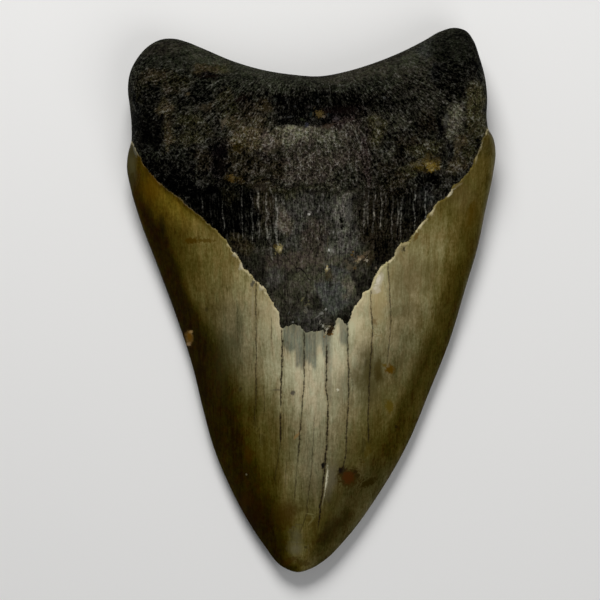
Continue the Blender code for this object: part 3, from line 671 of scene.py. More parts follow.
CLOUDS = [
    (-44.3, 29, 0.64, 3.4, -6, 0.6, (66, 60, 30)), (-44.3, 34.4, 1.1, 3.7, 4, 0.75, (78, 74, 46)),
    (-36.7, 18.7, 0.78, 2.5, 12, 0.65, (22, 13, 1)), (-35.7, 14.3, 0.73, 0.86, 0, 0.7, (26, 14, 1)),
    (13.6, -18.9, 3.2, 6.4, -2, 1, (78, 70, 36)), (16.4, -17.3, 1.1, 3.4, 4, 0.9, (68, 56, 15)),
    (5.7, -56, 4.4, 1.8, 42, 0.45, (38, 26, 2)), (-13.4, -51.8, 2.2, 3.9, -22, 0.5, (36, 18, 0)),
    # The two pale clouds at the tip on this line are a painted highlight.
    (-3.4, -58.2, 1.5, 2.2, -8, 0.55, (92, 88, 64)), (-3.6, -61.1, 1.7, 1.5, 0, 0.65, (108, 102, 76)),
    (5.4, -57.2, 2.2, 1.2, 40, 0.3, (48, 36, 8)), (4.9, -44.3, 1.3, 3.4, -8, 0.42, (104, 98, 80)),
    (-21.3, -12.1, 1.7, 8.8, -4, 0.3, (60, 56, 32)), (-18.1, -7.2, 1.2, 6.4, 0, 0.35, (72, 68, 44)),
    (8.4, -21.4, 1.7, 3.2, 0, 0.35, (100, 98, 74)), (-5.6, -52.4, 2.6, 2.8, 0, 0.7, (58, 38, 4)),
    (-15.4, -48.9, 1.5, 1.7, 0, 0.4, (50, 26, 2)), (16.7, -0.6, 1.7, 4.4, 0, 0.6, (168, 146, 96)),
    (-10.3, -2.8, 1.5, 3.9, -10, 0.4, (160, 140, 96)), (39.5, 21.4, 0.98, 3.2, -8, 0.65, (80, 58, 6)),
    (37, 25.6, 2.9, 2.9, 0, 0.4, (98, 80, 46)), (-38.9, 28.1, 2, 3.4, -20, 0.45, (92, 62, 0)),
    (24.3, 6.2, 4.2, 7.6, -25, 0.45, (104, 91, 60)),
]  # fmt: skip


# Glints and darker cores on top of either: the pale glints are partly painted highlights and
# partly bright chips and specks of mineral.
GLINTS = [
    (-0.5, 21, 0.29, 0.29, 0, 1, (190, 186, 178)), (-0.6, 20.9, 0.24, 0.24, 0, 0.6, (110, 108, 100)),
    (4.4, 12.3, 0.22, 0.37, 0, 1, (190, 188, 180)), (29.6, 32, 0.34, 0.39, 0, 0.85, (168, 150, 96)),
    (28.4, 33.4, 0.37, 0.24, 10, 0.8, (150, 134, 84)), (3.9, 7.8, 0.24, 0.34, 0, 0.9, (186, 178, 148)),
    (11.5, 9.4, 0.22, 0.2, 0, 0.9, (140, 128, 100)), (13.7, 9.7, 0.22, 0.32, 0, 0.9, (150, 142, 124)),
    (10.3, 11.9, 0.2, 0.2, 0, 0.8, (120, 96, 50)), (-2.2, 0.1, 0.39, 0.17, 50, 0.7, (100, 96, 60)),
    (-0.5, -0.1, 0.24, 0.17, -30, 0.7, (104, 98, 60)), (-1.4, -1.3, 0.29, 0.2, 30, 0.6, (90, 84, 54)),
    (15.9, 7.9, 0.22, 0.39, 0, 0.7, (110, 100, 84)), (29.4, 32.6, 0.64, 0.49, 10, 0.9, (134, 114, 60)),
    (-7.5, 12.3, 0.39, 0.44, 0, 1, (184, 170, 128)), (2.5, 45.1, 0.29, 0.34, 0, 0.6, (96, 80, 46)),
    (-19, 29.9, 0.39, 0.39, 0, 0.7, (86, 74, 46)), (12, 10.1, 0.34, 0.29, 0, 0.9, (146, 134, 110)),
    (3, -6.2, 0.27, 0.32, 0, 0.9, (150, 148, 134)), (3.9, -7, 0.29, 0.24, 0, 0.9, (160, 156, 140)),
    (3.7, -7.9, 0.24, 0.34, 0, 0.9, (176, 164, 130)), (5.2, -8.2, 0.32, 0.22, 0, 0.8, (140, 100, 48)),
    (2.7, -3.1, 0.37, 0.37, 0, 0.8, (120, 118, 110)), (3.7, -2.1, 0.22, 0.27, 0, 0.8, (140, 138, 130)),
    (-1.9, 0.6, 0.39, 0.2, 40, 0.7, (100, 96, 72)), (-0.5, -0.9, 0.34, 0.2, -40, 0.7, (96, 92, 70)),
    (-1.4, -2.8, 0.54, 0.2, -40, 0.7, (104, 100, 84)), (-4.4, -5.3, 0.29, 0.22, 0, 0.8, (104, 102, 96)),
    (-2.9, -4.6, 0.2, 0.5, 30, 0.7, (90, 88, 84)), (1.6, -3.9, 0.7, 0.16, 40, 0.7, (110, 108, 100)),
    (2.2, -5.3, 0.22, 0.6, -20, 0.7, (120, 116, 104)), (3.2, -8.9, 0.3, 0.22, 0, 0.8, (120, 96, 60)),
    (4.6, -6.3, 0.24, 0.2, 0, 0.8, (126, 118, 96)), (5.6, -6.9, 0.3, 0.3, 0, 0.8, (60, 42, 20)),
    (-1, -2.1, 0.8, 0.18, -55, 0.6, (96, 94, 84)), (-5.4, -3, 0.5, 0.14, 60, 0.6, (88, 86, 80)),
    (6.6, -21.9, 0.34, 0.36, 0, 0.9, (206, 200, 172)), (-15.9, -42.9, 0.24, 0.24, 0, 0.7, (112, 106, 84)),
    (-0.2, -52.6, 1.3, 0.2, -8, 0.6, (120, 114, 70)), (0.2, -54.3, 1.6, 0.2, 52, 0.55, (112, 106, 62)),
    (-30, -8.9, 0.5, 1, 8, 0.9, (104, 70, 10)), (-30.3, -10.8, 0.6, 0.42, 0, 0.9, (140, 116, 80)),
    (-29.6, -7.8, 0.45, 0.4, 0, 0.9, (158, 128, 80)), (16.5, 5.2, 0.45, 1, -20, 0.95, (224, 214, 190)),
    (15.8, 3, 0.5, 0.5, 0, 0.9, (214, 204, 176)), (16.4, 2.6, 0.73, 0.86, 0, 0.8, (200, 188, 160)),
    (-36.6, 17, 0.32, 0.88, 20, 0.5, (14, 7, 1)), (9.2, -43.6, 1.3, 1.5, 0, 0.85, (70, 34, 0)),
    (11, -42.2, 0.5, 0.4, 0, 0.7, (36, 24, 2)), (33, 43.9, 0.49, 1.7, -6, 0.5, (84, 82, 74)),
    (27.9, 33.9, 0.73, 0.29, 0, 0.6, (92, 84, 52)), (3, -40, 0.17, 0.22, 0, 0.5, (6, 4, 2)),
    (13.5, -15.3, 0.98, 0.39, 80, 0.4, (52, 42, 14)), (16.4, -18.5, 0.73, 1.5, 0, 0.4, (54, 44, 8)),
]  # fmt: skip


def face(across, along, samples):
    """What both faces start from: the points, whether they are on the rim, the distance to the
    outline, the distance from the tip, the rim's height and how far out to a side they are."""
    points = plan(across, along)
    x, y = points[..., 0], points[..., 1]
    rim = (across <= 0.0) | (across >= 1.0) | (along >= 1.0) | (along <= 0.0)
    ring = outline_at(np.linspace(0.0, 3.0, samples))
    gap = np.where(rim, 0.0, distance_to_path(x, y, ring))
    from_tip = y - TIP_Y
    edge = np.interp(from_tip, ALONG, EDGE_HEIGHT)
    side = np.abs(2.0 * across - 1.0)
    return x, y, rim, gap, from_tip, edge, side


LEFT_SLOPE, RIGHT_SLOPE = 0.93, 0.9  # cosines of the cutting edges' usual lean


def edge_distances(x, y):
    """Distance in from the left and from the right cutting edge, along X scaled by the edge's
    slope, so it is close to the true distance."""
    knots = np.linspace(0.0, 1.0, 400)
    left, right = outline_at(knots), outline_at(3.0 - knots)
    left_x = np.interp(y, left[:, 1], left[:, 0])
    right_x = np.interp(y, right[:, 1], right[:, 0])
    return np.clip(x - left_x, 0.0, None) * LEFT_SLOPE, np.clip(right_x - x, 0.0, None) * RIGHT_SLOPE


# Small nodules of mineral on the root: x, y, radius, height.
NODULES = [
    (2, 45.5, 0.8, 0.6), (-7.8, 12.6, 0.9, 0.5), (11.8, 10.1, 0.6, 0.25), (14, 9.9, 0.5, 0.25),
    (4, 7.9, 0.6, 0.3), (29.2, 32.8, 0.9, 0.35), (-19.3, 29.7, 0.8, 0.3), (-30.2, 50.4, 0.5, 0.25),
    (4.6, -7.4, 1, 0.3),
]  # fmt: skip

# Relief of the worked face, in mm.
LIP_RISE, BARE_DROP, RIDGE_RISE, CRACK_DEPTH = 0.10, 0.5, 0.30, 0.10
BONE_LUMPS, BONE_CRUMBS, BONE_FIBRE, PIT_DEPTH, HOLE_DEPTH = 0.30, 0.11, 0.08, 0.22, 0.55
BARE_FIBRE, BARE_CRUMBS = 0.06, 0.03
SLATE_LUMPS, SLATE_CRUMBS, SLATE_FIBRE = 0.10, 0.035, 0.03
ENAMEL_WAVES = 0.10


def lingual_surface(across, along):
    """The worked face: the solid's section (a lens in the crown, a pillow in the root) plus the
    enamel's step, root porosity, the ragged end of the bone, ridges, cracks and nodules."""
    x, y, rim, gap, from_tip, edge, side = face(across, along, 721)
    root = smoothstep(SHOULDER_FROM, SHOULDER_TO, y + 0.25 * np.abs(x) * (side - 1.0))
    crown_top = edge + np.interp(from_tip, ALONG, CROWN_BULGE) * (1.0 - side**LENS_POWER)
    root_top = edge + (root_relief(x, y) - edge) * rounding(gap, ROOT_ROUNDING, ROOT_ROUND_POWER)
    z = crown_top + (root_top - crown_top) * root
    inside = smoothstep(0.0, LINGUAL_CALM, gap)
    left, right = edge_distances(x, y)

    border = side_of_line(x, y, LINGUAL_LINE)
    border = border + 0.22 * layered(x / 1.1, y / 1.6, 3, 3) + 0.12 * grain(x / 0.45, y / 0.9, 7)
    cover = smoothstep(-0.14, 0.14, border)
    lip = bell(border, 0.35, 0.3)
    flaked = smoothstep(-0.7, 0.5, layered(x / 2.2, y / 2.2, 131, 3))
    low_part = smoothstep(-6.5, -2.0, y) * (1.0 - smoothstep(12.0, 16.0, y - 9.0 * smoothstep(-5.0, 5.0, x)))
    left_side = 0.55 * smoothstep(-21.0, -18.5, x) * smoothstep(-7.0, -9.0, x)
    high_part = 0.8 * smoothstep(34.0, 38.5, y)
    flaked = np.maximum(flaked, left_side) * np.maximum(0.10, np.maximum(low_part, high_part))
    bone_end = 27.0 + 1.3 * layered(x / 3.0, y / 9.0, 51, 4) - 0.0016 * x * x
    bare = smoothstep(-0.35, 0.35, bone_end - y) * (1.0 - cover)
    bone = (1.0 - bare) * (1.0 - cover)
    slate = bare * (1.0 - smoothstep(9.0, 16.0, y))

    lumps = layered(x / 4.5, y / 4.5, 61, 3)
    crumb = layered(x / 1.0, y / 1.2, 71, 3)
    fibre = layered(x / 0.7, y / 3.6, 77, 3)
    pit = np.clip(1.0 - pores(x / 1.15, y / 1.15, 81) / 0.5, 0.0, 1.0)
    deep = np.clip(1.0 - pores(x / 2.1, y / 2.1, 91) / 0.55, 0.0, 1.0)
    rough = 1.0 - 0.75 * smoothstep(50.0, 56.0, y - 0.004 * x * x)
    ridge_off, ridge_on = ridge_field(x, y)
    ridge_on = ridge_on * bare
    ridges = ridge_on * bell(ridge_off, 0.34)
    crack_off, crack_on = crack_field(x, y)
    cracks = crack_on * cover * bell(crack_off, 0.25)
    valley = blot(x, y, 5.0, 47.5, 20.0, 3.6)
    step = smoothstep(-5.0, 0.0, y) * (1.0 - 0.4 * smoothstep(-16.0, -24.0, x))
    z = z + step * (ENAMEL_STEP * cover + LIP_RISE * lip)
    z = z - bare * BARE_DROP * smoothstep(-6.0, 2.0, y)
    gritty = rough * (BONE_CRUMBS * crumb + BONE_FIBRE * fibre)
    z = z + inside * bone * (BONE_LUMPS * lumps + gritty - PIT_DEPTH * rough * pit)
    z = z - inside * bone * HOLE_DEPTH * valley * deep
    grooved = RIDGE_RISE * ridges + BARE_FIBRE * fibre + BARE_CRUMBS * crumb
    z = z + inside * bare * (1.0 - slate) * grooved
    z = z + inside * slate * (SLATE_LUMPS * lumps + SLATE_CRUMBS * crumb + SLATE_FIBRE * fibre)
    waves = ENAMEL_WAVES * layered(x / 9.0, y / 22.0, 101, 3)
    z = z + inside * cover * (waves - CRACK_DEPTH * cracks)
    for cx, cy, size, high in NODULES:
        z = z + high * np.exp(-((((x - cx) ** 2 + (y - cy) ** 2) / size**2) ** 1.5))

    above = y - ledge_line(x)
    # The groove above the ledge is darkened as a painted shadow, and the pale flake along its lip is
    # lightened, partly as a painted highlight where it faces the light.
    ledge_shadow = ledge_reach(x) * window(0.0, 0.5, 3.0, 7.0, above)
    flake = window(-6.0, -5.0, -1.2, 2.0, x) * bell(above, 0.35, -0.35)
    glow = np.where(x < 0.0, smoothstep(3.0, -2.0, y), smoothstep(13.5, 9.0, y)) * smoothstep(-13.0, -7.0, y)
    glow = 0.17 * glow * bell(border, 2.6) * smoothstep(4.0, 7.0, np.abs(x))
    split_off, split_on = split_field(x, y)
    on_bone = border < -0.6
    crack_off = np.where(on_bone, split_off, crack_off)
    crack_on = np.where(on_bone, split_on, crack_on)
    bone_tone, hue = mottling(x, y)
    # Painted shadow in the groove; the flake partly a painted highlight.
    bone_tone = bone_tone * (1.0 - 0.85 * ledge_shadow) + 0.35 * flake
    golden = smoothstep(-12.0, 16.0, y) * (0.17 + 0.17 * smoothstep(4.0, -16.0, x))
    golden = golden + 0.61 * smoothstep(12.0, 24.0, y) * smoothstep(-22.0, -32.0, x)
    marks = {
        "border": border,
        "bone_end": bare,
        "slate": slate,
        "bone_tone": bone_tone,
        "hue": hue,
        "fan": GRAIN_ARM * np.arctan2(x - GRAIN_X, GRAIN_Y - y),
        "reach": np.hypot(x - GRAIN_X, GRAIN_Y - y),
        "golden": golden,
        "ashen": ashen(x, y, left, right),
        "blue": daggers(x, y),
        "enamel_tone": enamel_marks(x, y, left, right, border) + glow,
        "lip": flaked,
        # hollow: where the bone is painted darker, partly as shade in its pits and holes.
        "hollow": np.clip(0.5 * pit + 0.8 * valley * deep - 0.25 * crumb - 0.15 * fibre, -1.0, 1.0),
        "ridge_off": ridge_off,
        "ridge_on": ridge_on,
        "crack_off": crack_off,
        "crack_on": crack_on,
        "coarse": rough,
    }
    for name, rows in (("crumb", CRUMBS), ("stain", STAINS), ("cloud", CLOUDS), ("glint", GLINTS)):
        marks[name], marks[name + "_colour"], marks[name + "_amount"] = nearest_spot(x, y, rows)
    return x, y, np.where(rim, edge, z), marks


FAR_OFF = 9.0  # from any spot, in its half sizes


def labial_surface(across, along):
    """The flat face: nearly level in the crown, where it rests on the table, a little hollow
    between the root lobes, with the enamel's low arched step."""
    x, y, rim, gap, from_tip, edge, side = face(across, along, 361)
    root = smoothstep(LABIAL_FROM, LABIAL_TO, y)
    middle = np.interp(from_tip, ALONG, LABIAL_MIDDLE)
    spread = smoothstep(0.0, LOBE_SPREAD, np.abs(x)) * root
    middle = middle + (LOBE_LIFT * smoothstep(50.0, 70.0, y) - 0.1 - middle) * spread
    crown_low = middle + (edge - middle) * side**LABIAL_POWER
    root_low = edge - (edge - middle) * rounding(gap, LABIAL_ROUNDING, LABIAL_ROUND_POWER)
    z = crown_low + (root_low - crown_low) * root
    inside = smoothstep(0.0, LABIAL_CALM, gap)
    border = side_of_line(x, y, LABIAL_LINE) + 0.3 * layered(x / 1.6, y / 1.8, 203, 3)
    cover = smoothstep(-0.35, 0.35, border)
    bone = 1.0 - cover
    lumps = layered(x / 4.5, y / 4.5, 261, 3)
    crumb = layered(x / 1.4, y / 1.6, 271, 3)
    pit = np.clip(1.0 - pores(x / 1.6, y / 1.6, 281) / 0.5, 0.0, 1.0)
    z = z + inside * ENAMEL_STEP * bone * (1.0 - smoothstep(12.0, 30.0, np.abs(x)))
    z = z + inside * bone * (0.20 + 0.20 * lumps + 0.10 * crumb + 0.2 * pit)
    z = z + inside * cover * 0.06 * layered(x / 9.0, y / 22.0, 301, 3)
    z = np.maximum(z, 0.0)
    left, right = edge_distances(x, y)
    tone = 0.62 * np.clip(left / 16.0, 0.0, 1.0) ** 0.7 * np.clip(right / 16.0, 0.0, 1.0) ** 0.7
    tone = tone * np.interp(y, [-67, -50, -20, 40], [0.5, 0.75, 1.0, 0.9])
    share = smoothstep(-0.5, 0.6, layered(x / 9.0, y / 7.0, 331, 3))[..., None]
    hue = np.array(HUES["moss"]) * (1.0 - share) + np.array(HUES["tan"]) * share
    marks = {
        "border": border,
        "bone_end": 0.0,
        "slate": 0.0,
        "bone_tone": 0.30 + 0.14 * layered(x / 9.0, y / 9.0, 311, 3),
        "hue": hue**SCREEN_GAMMA,
        "fan": x,
        "reach": y,
        "golden": 0.2,
        "ashen": 0.3,
        "blue": 0.0,
        "enamel_tone": tone + 0.08 * layered(x / 8.0, y / 20.0, 321, 3),
        "lip": 0.3,
        # hollow: where the bone is painted darker, partly as shade in its pits.
        "hollow": np.clip(0.5 * pit - 0.25 * crumb, -1.0, 1.0),
        "ridge_off": 1.0,
        "ridge_on": 0.0,
        "crack_off": 1.0,
        "crack_on": 0.0,
        "coarse": 0.8,
    }
    marks = {name: value + np.zeros(np.shape(value) or x.shape) for name, value in marks.items()}
    for name in ("crumb", "stain", "cloud", "glint"):
        marks[name] = np.full(x.shape + (3,), FAR_OFF)
        marks[name + "_colour"] = np.zeros(x.shape + (3,))
        marks[name + "_amount"] = np.zeros(x.shape)
    return x, y, np.where(rim, edge, z), marks


# ---------------------------------------------------------------- the mesh

LINGUAL_CELLS = 240  # the labial face has half as many
ROWS = 270


def columns(cells):
    """Even steps from 0 to 1, a little closer together towards both ends."""
    even = np.linspace(0.0, 1.0, cells + 1)
    return 0.8 * even + 0.2 * (0.5 - 0.5 * np.cos(np.pi * even))


def rows():
    """Steps from the tip to the root's top: fine at the tip, wider down the smooth crown, fine
    over the root, and finest where the root rounds over."""
    at = [0, 8, 84, 238, ROWS]
    return np.interp(np.arange(ROWS + 1), at, [0.0, 0.02, 0.44, 0.945, 1.0])


def tooth_mesh():
    """Rings of points round the tooth, lingual face then labial face, from a pole at the tip to
    the root's top edge, where each labial cell meets two lingual ones."""
    cells, half = LINGUAL_CELLS, LINGUAL_CELLS // 2
    steps, levels = columns(cells), rows()
    across, along = np.meshgrid(steps, levels)
    lx, ly, lz, lmarks = lingual_surface(across, along)
    across, along = np.meshgrid(steps[::2], levels)
    bx, by, bz, bmarks = labial_surface(across, along)

    def ring(front, back):
        return np.concatenate([front[1:-1], back[1:-1, -2:0:-1]], axis=1)

    def gather(front, back):
        rest = ring(front, back)
        return np.concatenate([front[:1].mean(axis=1), rest.reshape(-1, *rest.shape[2:]), front[-1]])

    verts = np.column_stack([gather(lx, bx), gather(ly, by), gather(lz, bz)]) * MM
    around = cells + half
    first = 1 + np.arange(ROWS - 1)[:, None] * around
    here = first[:-1] + np.arange(around)
    after = first[:-1] + (np.arange(around) + 1) % around
    quads = np.stack([here, after, after + around, here + around], -1).reshape(-1, 4)
    cap = 1 + np.arange(around)
    fan = np.stack([np.zeros(around, int), (cap % around) + 1, cap], -1)
    last = 1 + (ROWS - 2) * around
    top = 1 + (ROWS - 1) * around
    k = np.arange(cells)
    front_top = np.stack([last + k, last + k + 1, top + k + 1, top + k], -1)
    k = np.arange(half)
    back = last + (cells + k) % around
    back_next = last + (cells + k + 1) % around
    edge_a, edge_b, edge_c = top + cells - 2 * k, top + cells - 2 * k - 1, top + cells - 2 * k - 2
    back_quads = np.stack([back, back_next, edge_c, edge_b], -1)
    back_tris = np.stack([back, edge_b, edge_a], -1)
    quads = np.concatenate([quads, front_top, back_quads])
    tris = np.concatenate([fan, back_tris])

    mesh = bpy.data.meshes.new("tooth_surface")
    corners = np.concatenate([quads.ravel(), tris.ravel()])
    starts = np.concatenate([np.arange(len(quads)) * 4, len(quads) * 4 + np.arange(len(tris)) * 3])
    mesh.vertices.add(len(verts))
    mesh.vertices.foreach_set("co", verts.ravel())
    mesh.loops.add(len(corners))
    mesh.loops.foreach_set("vertex_index", corners)
    mesh.polygons.add(len(starts))
    mesh.polygons.foreach_set("loop_start", starts)
    mesh.update(calc_edges=True)
    mesh.validate()
    for name in lmarks:
        values = gather(lmarks[name], bmarks[name])
        kind, field = ("FLOAT", "value") if values.ndim == 1 else ("FLOAT_VECTOR", "vector")
        mesh.attributes.new(name, kind, "POINT").data.foreach_set(field, values.ravel())
    mesh.shade_smooth()
    return mesh


# ---------------------------------------------------------------- finishes


class Shader:
    """Short ways to add the nodes of one material."""

    def __init__(self, name):
        self.material = bpy.data.materials.new(name)
        self.material.use_nodes = True
        self.tree = self.material.node_tree
        self.skin = self.tree.nodes["Principled BSDF"]
        self.place = self.tree.nodes.new("ShaderNodeTexCoord").outputs["Object"]

    def node(self, kind, inputs=(), **settings):
        made = self.tree.nodes.new(kind)
        for key, value in settings.items():
            setattr(made, key, value)
        for key, value in dict(inputs).items():
            self.put(value, made.inputs[key])
        return made

    def put(self, value, socket):
        if isinstance(value, bpy.types.NodeSocket):
            self.tree.links.new(value, socket)
        else:
            socket.default_value = value

    def math(self, operation, a, b=0.0, c=0.0):
        return self.node("ShaderNodeMath", {0: a, 1: b, 2: c}, operation=operation).outputs[0]

    def plus(self, first, *others):
        for other in others:
            first = self.math("ADD", first, other)
        return first

    def minus(self, a, b):
        return self.math("SUBTRACT", a, b)

    def times(self, a, b):
        return self.math("MULTIPLY", a, b)

    def size(self, a):
        return self.math("ABSOLUTE", a)

    def fit(self, value, low, high, out_low=0.0, out_high=1.0, smooth=True):
        kind = "SMOOTHSTEP" if smooth else "LINEAR"
        made = self.node(
            "ShaderNodeMapRange",
            {"Value": value, "From Min": low, "From Max": high, "To Min": out_low, "To Max": out_high},
            interpolation_type=kind,
        )
        return made.outputs["Result"]

    def mix(self, amount, first, second, kind="MIX"):
        made = self.node("ShaderNodeMix", data_type="RGBA", blend_type=kind)
        self.put(amount, made.inputs[0])
        self.put(first, made.inputs[6])
        self.put(second, made.inputs[7])
        return made.outputs[2]

    def ramp(self, value, stops):
        """Colour by value: stops are rows of place, red, green and blue, in order."""
        made = self.node("ShaderNodeValToRGB", {"Fac": value})
        scale = made.color_ramp.elements
        ends = [(scale[0], stops[0]), (scale[1], stops[-1])]
        for element, (at, *colour) in ends:
            element.position = at
            element.color = srgb(*colour)
        for at, *colour in stops[1:-1]:
            scale.new(at).color = srgb(*colour)
        return made.outputs["Color"]

    def mark(self, name):
        return self.node("ShaderNodeAttribute", attribute_name=name).outputs["Fac"]

    def noise(self, sizes, detail=3.0, rough=0.55, shift=(0.0, 0.0, 0.0), warp=0.0, place=None):
        """Noise with features of these sizes, in mm along X, Y and Z."""
        scale = [1.0 / (size * MM) for size in sizes]
        source = {"Vector": place or self.place, "Location": shift, "Scale": scale}
        placed = self.node("ShaderNodeMapping", source)
        made = self.node(
            "ShaderNodeTexNoise",
            {
                "Vector": placed.outputs[0],
                "Scale": 1.0,
                "Detail": detail,
                "Roughness": rough,
                "Distortion": warp,
            },
        )
        return made.outputs["Fac"]

    def even(self, value, reach):
        """Noise turned into a change of tone: 0 in the mean, about reach/2 on most of it."""
        return self.fit(value, 0.3, 0.7, -reach, reach, smooth=False)

    def dots(self, size, radius, share, shift=(0.0, 0.0, 0.0)):
        """Scattered round dots on a jittered lattice of cells of this size, in mm: radius is in
        cells, and share is how many of the cells have one."""
        scale = [1.0 / (size * MM)] * 3
        placed = self.node("ShaderNodeMapping", {"Vector": self.place, "Location": shift, "Scale": scale})
        cells = self.node("ShaderNodeTexVoronoi", {"Vector": placed.outputs[0], "Scale": 1.0})
        dot = self.fit(cells.outputs["Distance"], radius * 0.5, radius, 1.0, 0.0)
        pick = self.node("ShaderNodeSeparateColor", {"Color": cells.outputs["Color"]}).outputs[0]
        return self.times(dot, self.fit(pick, 1.0 - share, 1.0, 0.0, 1.0, smooth=False))

    def spots(self, name, under, edge, ragged, sway=0.45):
        """The nearest spot of a list laid over a colour: full inside, none outside, with a soft
        edge made ragged by noise."""
        place = self.node("ShaderNodeAttribute", attribute_name=name).outputs["Vector"]
        reach = self.node("ShaderNodeVectorMath", {0: place}, operation="LENGTH").outputs["Value"]
        reach = self.plus(reach, self.even(ragged, sway))
        amount = self.fit(reach, 1.0 - edge, 1.0 + edge, 1.0, 0.0)
        amount = self.times(amount, self.mark(name + "_amount"))
        colour = self.node("ShaderNodeAttribute", attribute_name=name + "_colour").outputs["Vector"]
        return self.mix(amount, under, colour)


# Tones from dark to pale: the place on the scale, then the grey level or the colour.
BONE_GREYS = [(0.0, 0), (0.1, 11), (0.2, 22), (0.35, 39), (0.5, 56), (0.7, 82), (1.0, 128)]
GOLDEN_ENAMEL = [
    (0.0, 29, 16, 0), (0.15, 53, 42, 0), (0.30, 77, 67, 21), (0.45, 106, 95, 50), (0.60, 136, 125, 85),
    (0.80, 173, 164, 128), (1.0, 204, 195, 160),
]  # fmt: skip
ASHEN_ENAMEL = [
    (0.0, 30, 20, 3), (0.15, 54, 47, 21), (0.30, 78, 72, 46), (0.45, 106, 100, 74), (0.60, 136, 129, 100),
    (0.80, 173, 165, 136), (1.0, 204, 196, 166),
]  # fmt: skip
BLUE_STAIN = (0.33, 0.375, 0.42, 1.0)  # what the stain lets through of the enamel's colour


def bone_colour(s, bare):
    """Root bone: light grit, hairs and crumbs on near black, tinted olive, tan or blue-grey, and darker
    in its pits and holes, partly as painted shade. Also gives the fine height of that grain, in mm."""
    down = s.node("ShaderNodeSeparateXYZ", {0: s.place}).outputs[2]
    flow = {0: s.times(s.mark("fan"), MM), 1: s.times(s.mark("reach"), MM), 2: down}
    flow = s.node("ShaderNodeCombineXYZ", flow).outputs[0]
    coarse = s.mark("coarse")
    grit = s.noise((0.54, 0.58, 0.6), 2.0, 0.62)
    hair = s.noise((0.46, 1.9, 0.9), 2.0, 0.6, shift=(3.0, 1.0, 0.0), warp=0.9, place=flow)
    worm = s.noise((0.9, 1.9, 1.2), 1.0, 0.5, shift=(9.0, 2.0, 0.0), warp=0.5, place=flow)
    worm = s.fit(s.size(s.minus(worm, 0.5)), 0.0, 0.09, 0.28, -0.08)
    lock = s.noise((1.0, 4.0, 1.6), 2.0, 0.5, shift=(5.0, 4.0, 0.0), warp=0.7, place=flow)
    blotch = s.noise((2.8, 3.2, 2.9), 4.0, 0.6, shift=(0.0, 7.0, 2.0))
    crumb = s.dots(0.95, 0.34, 0.45)
    hole = s.dots(1.5, 0.42, 0.5, shift=(5.0, 2.0, 0.0))

    loose = s.plus(s.even(grit, 0.38), s.even(hair, 0.26), worm)
    loose = s.plus(loose, s.plus(s.even(lock, 0.20), s.times(crumb, 0.30)))
    # Darker at the scattered holes and in the mesh's pits and valley holes: partly painted shade in these
    # recesses, partly their dark fill.
    loose = s.minus(s.minus(loose, s.times(hole, 0.26)), s.times(s.mark("hollow"), 0.20))
    loose = s.times(loose, s.fit(coarse, 0.0, 1.0, 0.60, 1.0, smooth=False))
    strand = s.noise((0.34, 3.6, 0.6), 2.0, 0.6, shift=(6.0, 1.0, 0.0), warp=0.3)
    grime = s.noise((1.1, 2.2, 1.5), 4.0, 0.65, shift=(2.0, 5.0, 0.0))
    seam = s.noise((0.62, 5.0, 0.8), 1.0, 0.5, shift=(1.0, 7.0, 0.0), warp=0.4)
    seam = s.fit(s.size(s.minus(seam, 0.5)), 0.0, 0.035, -0.44, 0.04)
    woven = s.plus(s.even(strand, 0.27), s.even(grime, 0.27), s.even(grit, 0.30), seam)
    woven = s.times(woven, s.math("MULTIPLY_ADD", s.mark("slate"), -0.35, 1.0))
    grain_tone = s.plus(loose, s.times(s.minus(woven, loose), bare))
    depth = s.fit(coarse, 0.0, 1.0, 0.48, 0.70, smooth=False)
    tone = s.plus(s.mark("bone_tone"), s.even(blotch, 0.06), s.times(grain_tone, depth))
    off = s.size(s.plus(s.mark("ridge_off"), s.even(grime, 0.16)))
    ridge = s.times(s.fit(off, 0.05, 0.33, 1.0, 0.0), s.mark("ridge_on"))
    tone = s.plus(tone, s.times(ridge, s.fit(grit, 0.30, 0.70, 0.38, 0.70)))
    grey = s.ramp(tone, [(at, level, level, level) for at, level in BONE_GREYS])
    hue = s.noise((1.1, 1.6, 1.2), 3.0, 0.7, shift=(7.0, 7.0, 1.0))
    tint = s.mix(s.fit(hue, 0.42, 0.58), srgb(255, 247, 250), srgb(249, 255, 236))
    tint = s.mix(1.0, tint, s.node("ShaderNodeAttribute", attribute_name="hue").outputs["Vector"], "MULTIPLY")
    # The brighter grain is made nearly neutral: painted glints on the bone's pale specks.
    glinting_grain = s.fit(s.plus(grain_tone, ridge), 0.05, 0.5, 0.0, 0.7)
    tint = s.mix(glinting_grain, tint, srgb(255, 252, 240))
    root = s.mix(1.0, grey, tint, "MULTIPLY")
    split = s.fit(s.size(s.mark("crack_off")), 0.04, 0.24, 0.9, 0.0)
    root = s.mix(s.times(split, s.mark("crack_on")), root, srgb(4, 3, 2))
    crumbly = s.noise((0.55, 0.55, 0.55), 3.0, 0.7, shift=(1.0, 2.0, 3.0))
    root = s.spots("crumb", root, 0.40, crumbly, 0.9)
    fine = s.plus(s.times(loose, 0.42), s.times(ridge, 0.14))
    woven = s.times(s.times(woven, bare), 0.10)
    return root, s.plus(s.times(fine, s.math("MULTIPLY_ADD", bare, -0.85, 1.0)), woven), grit


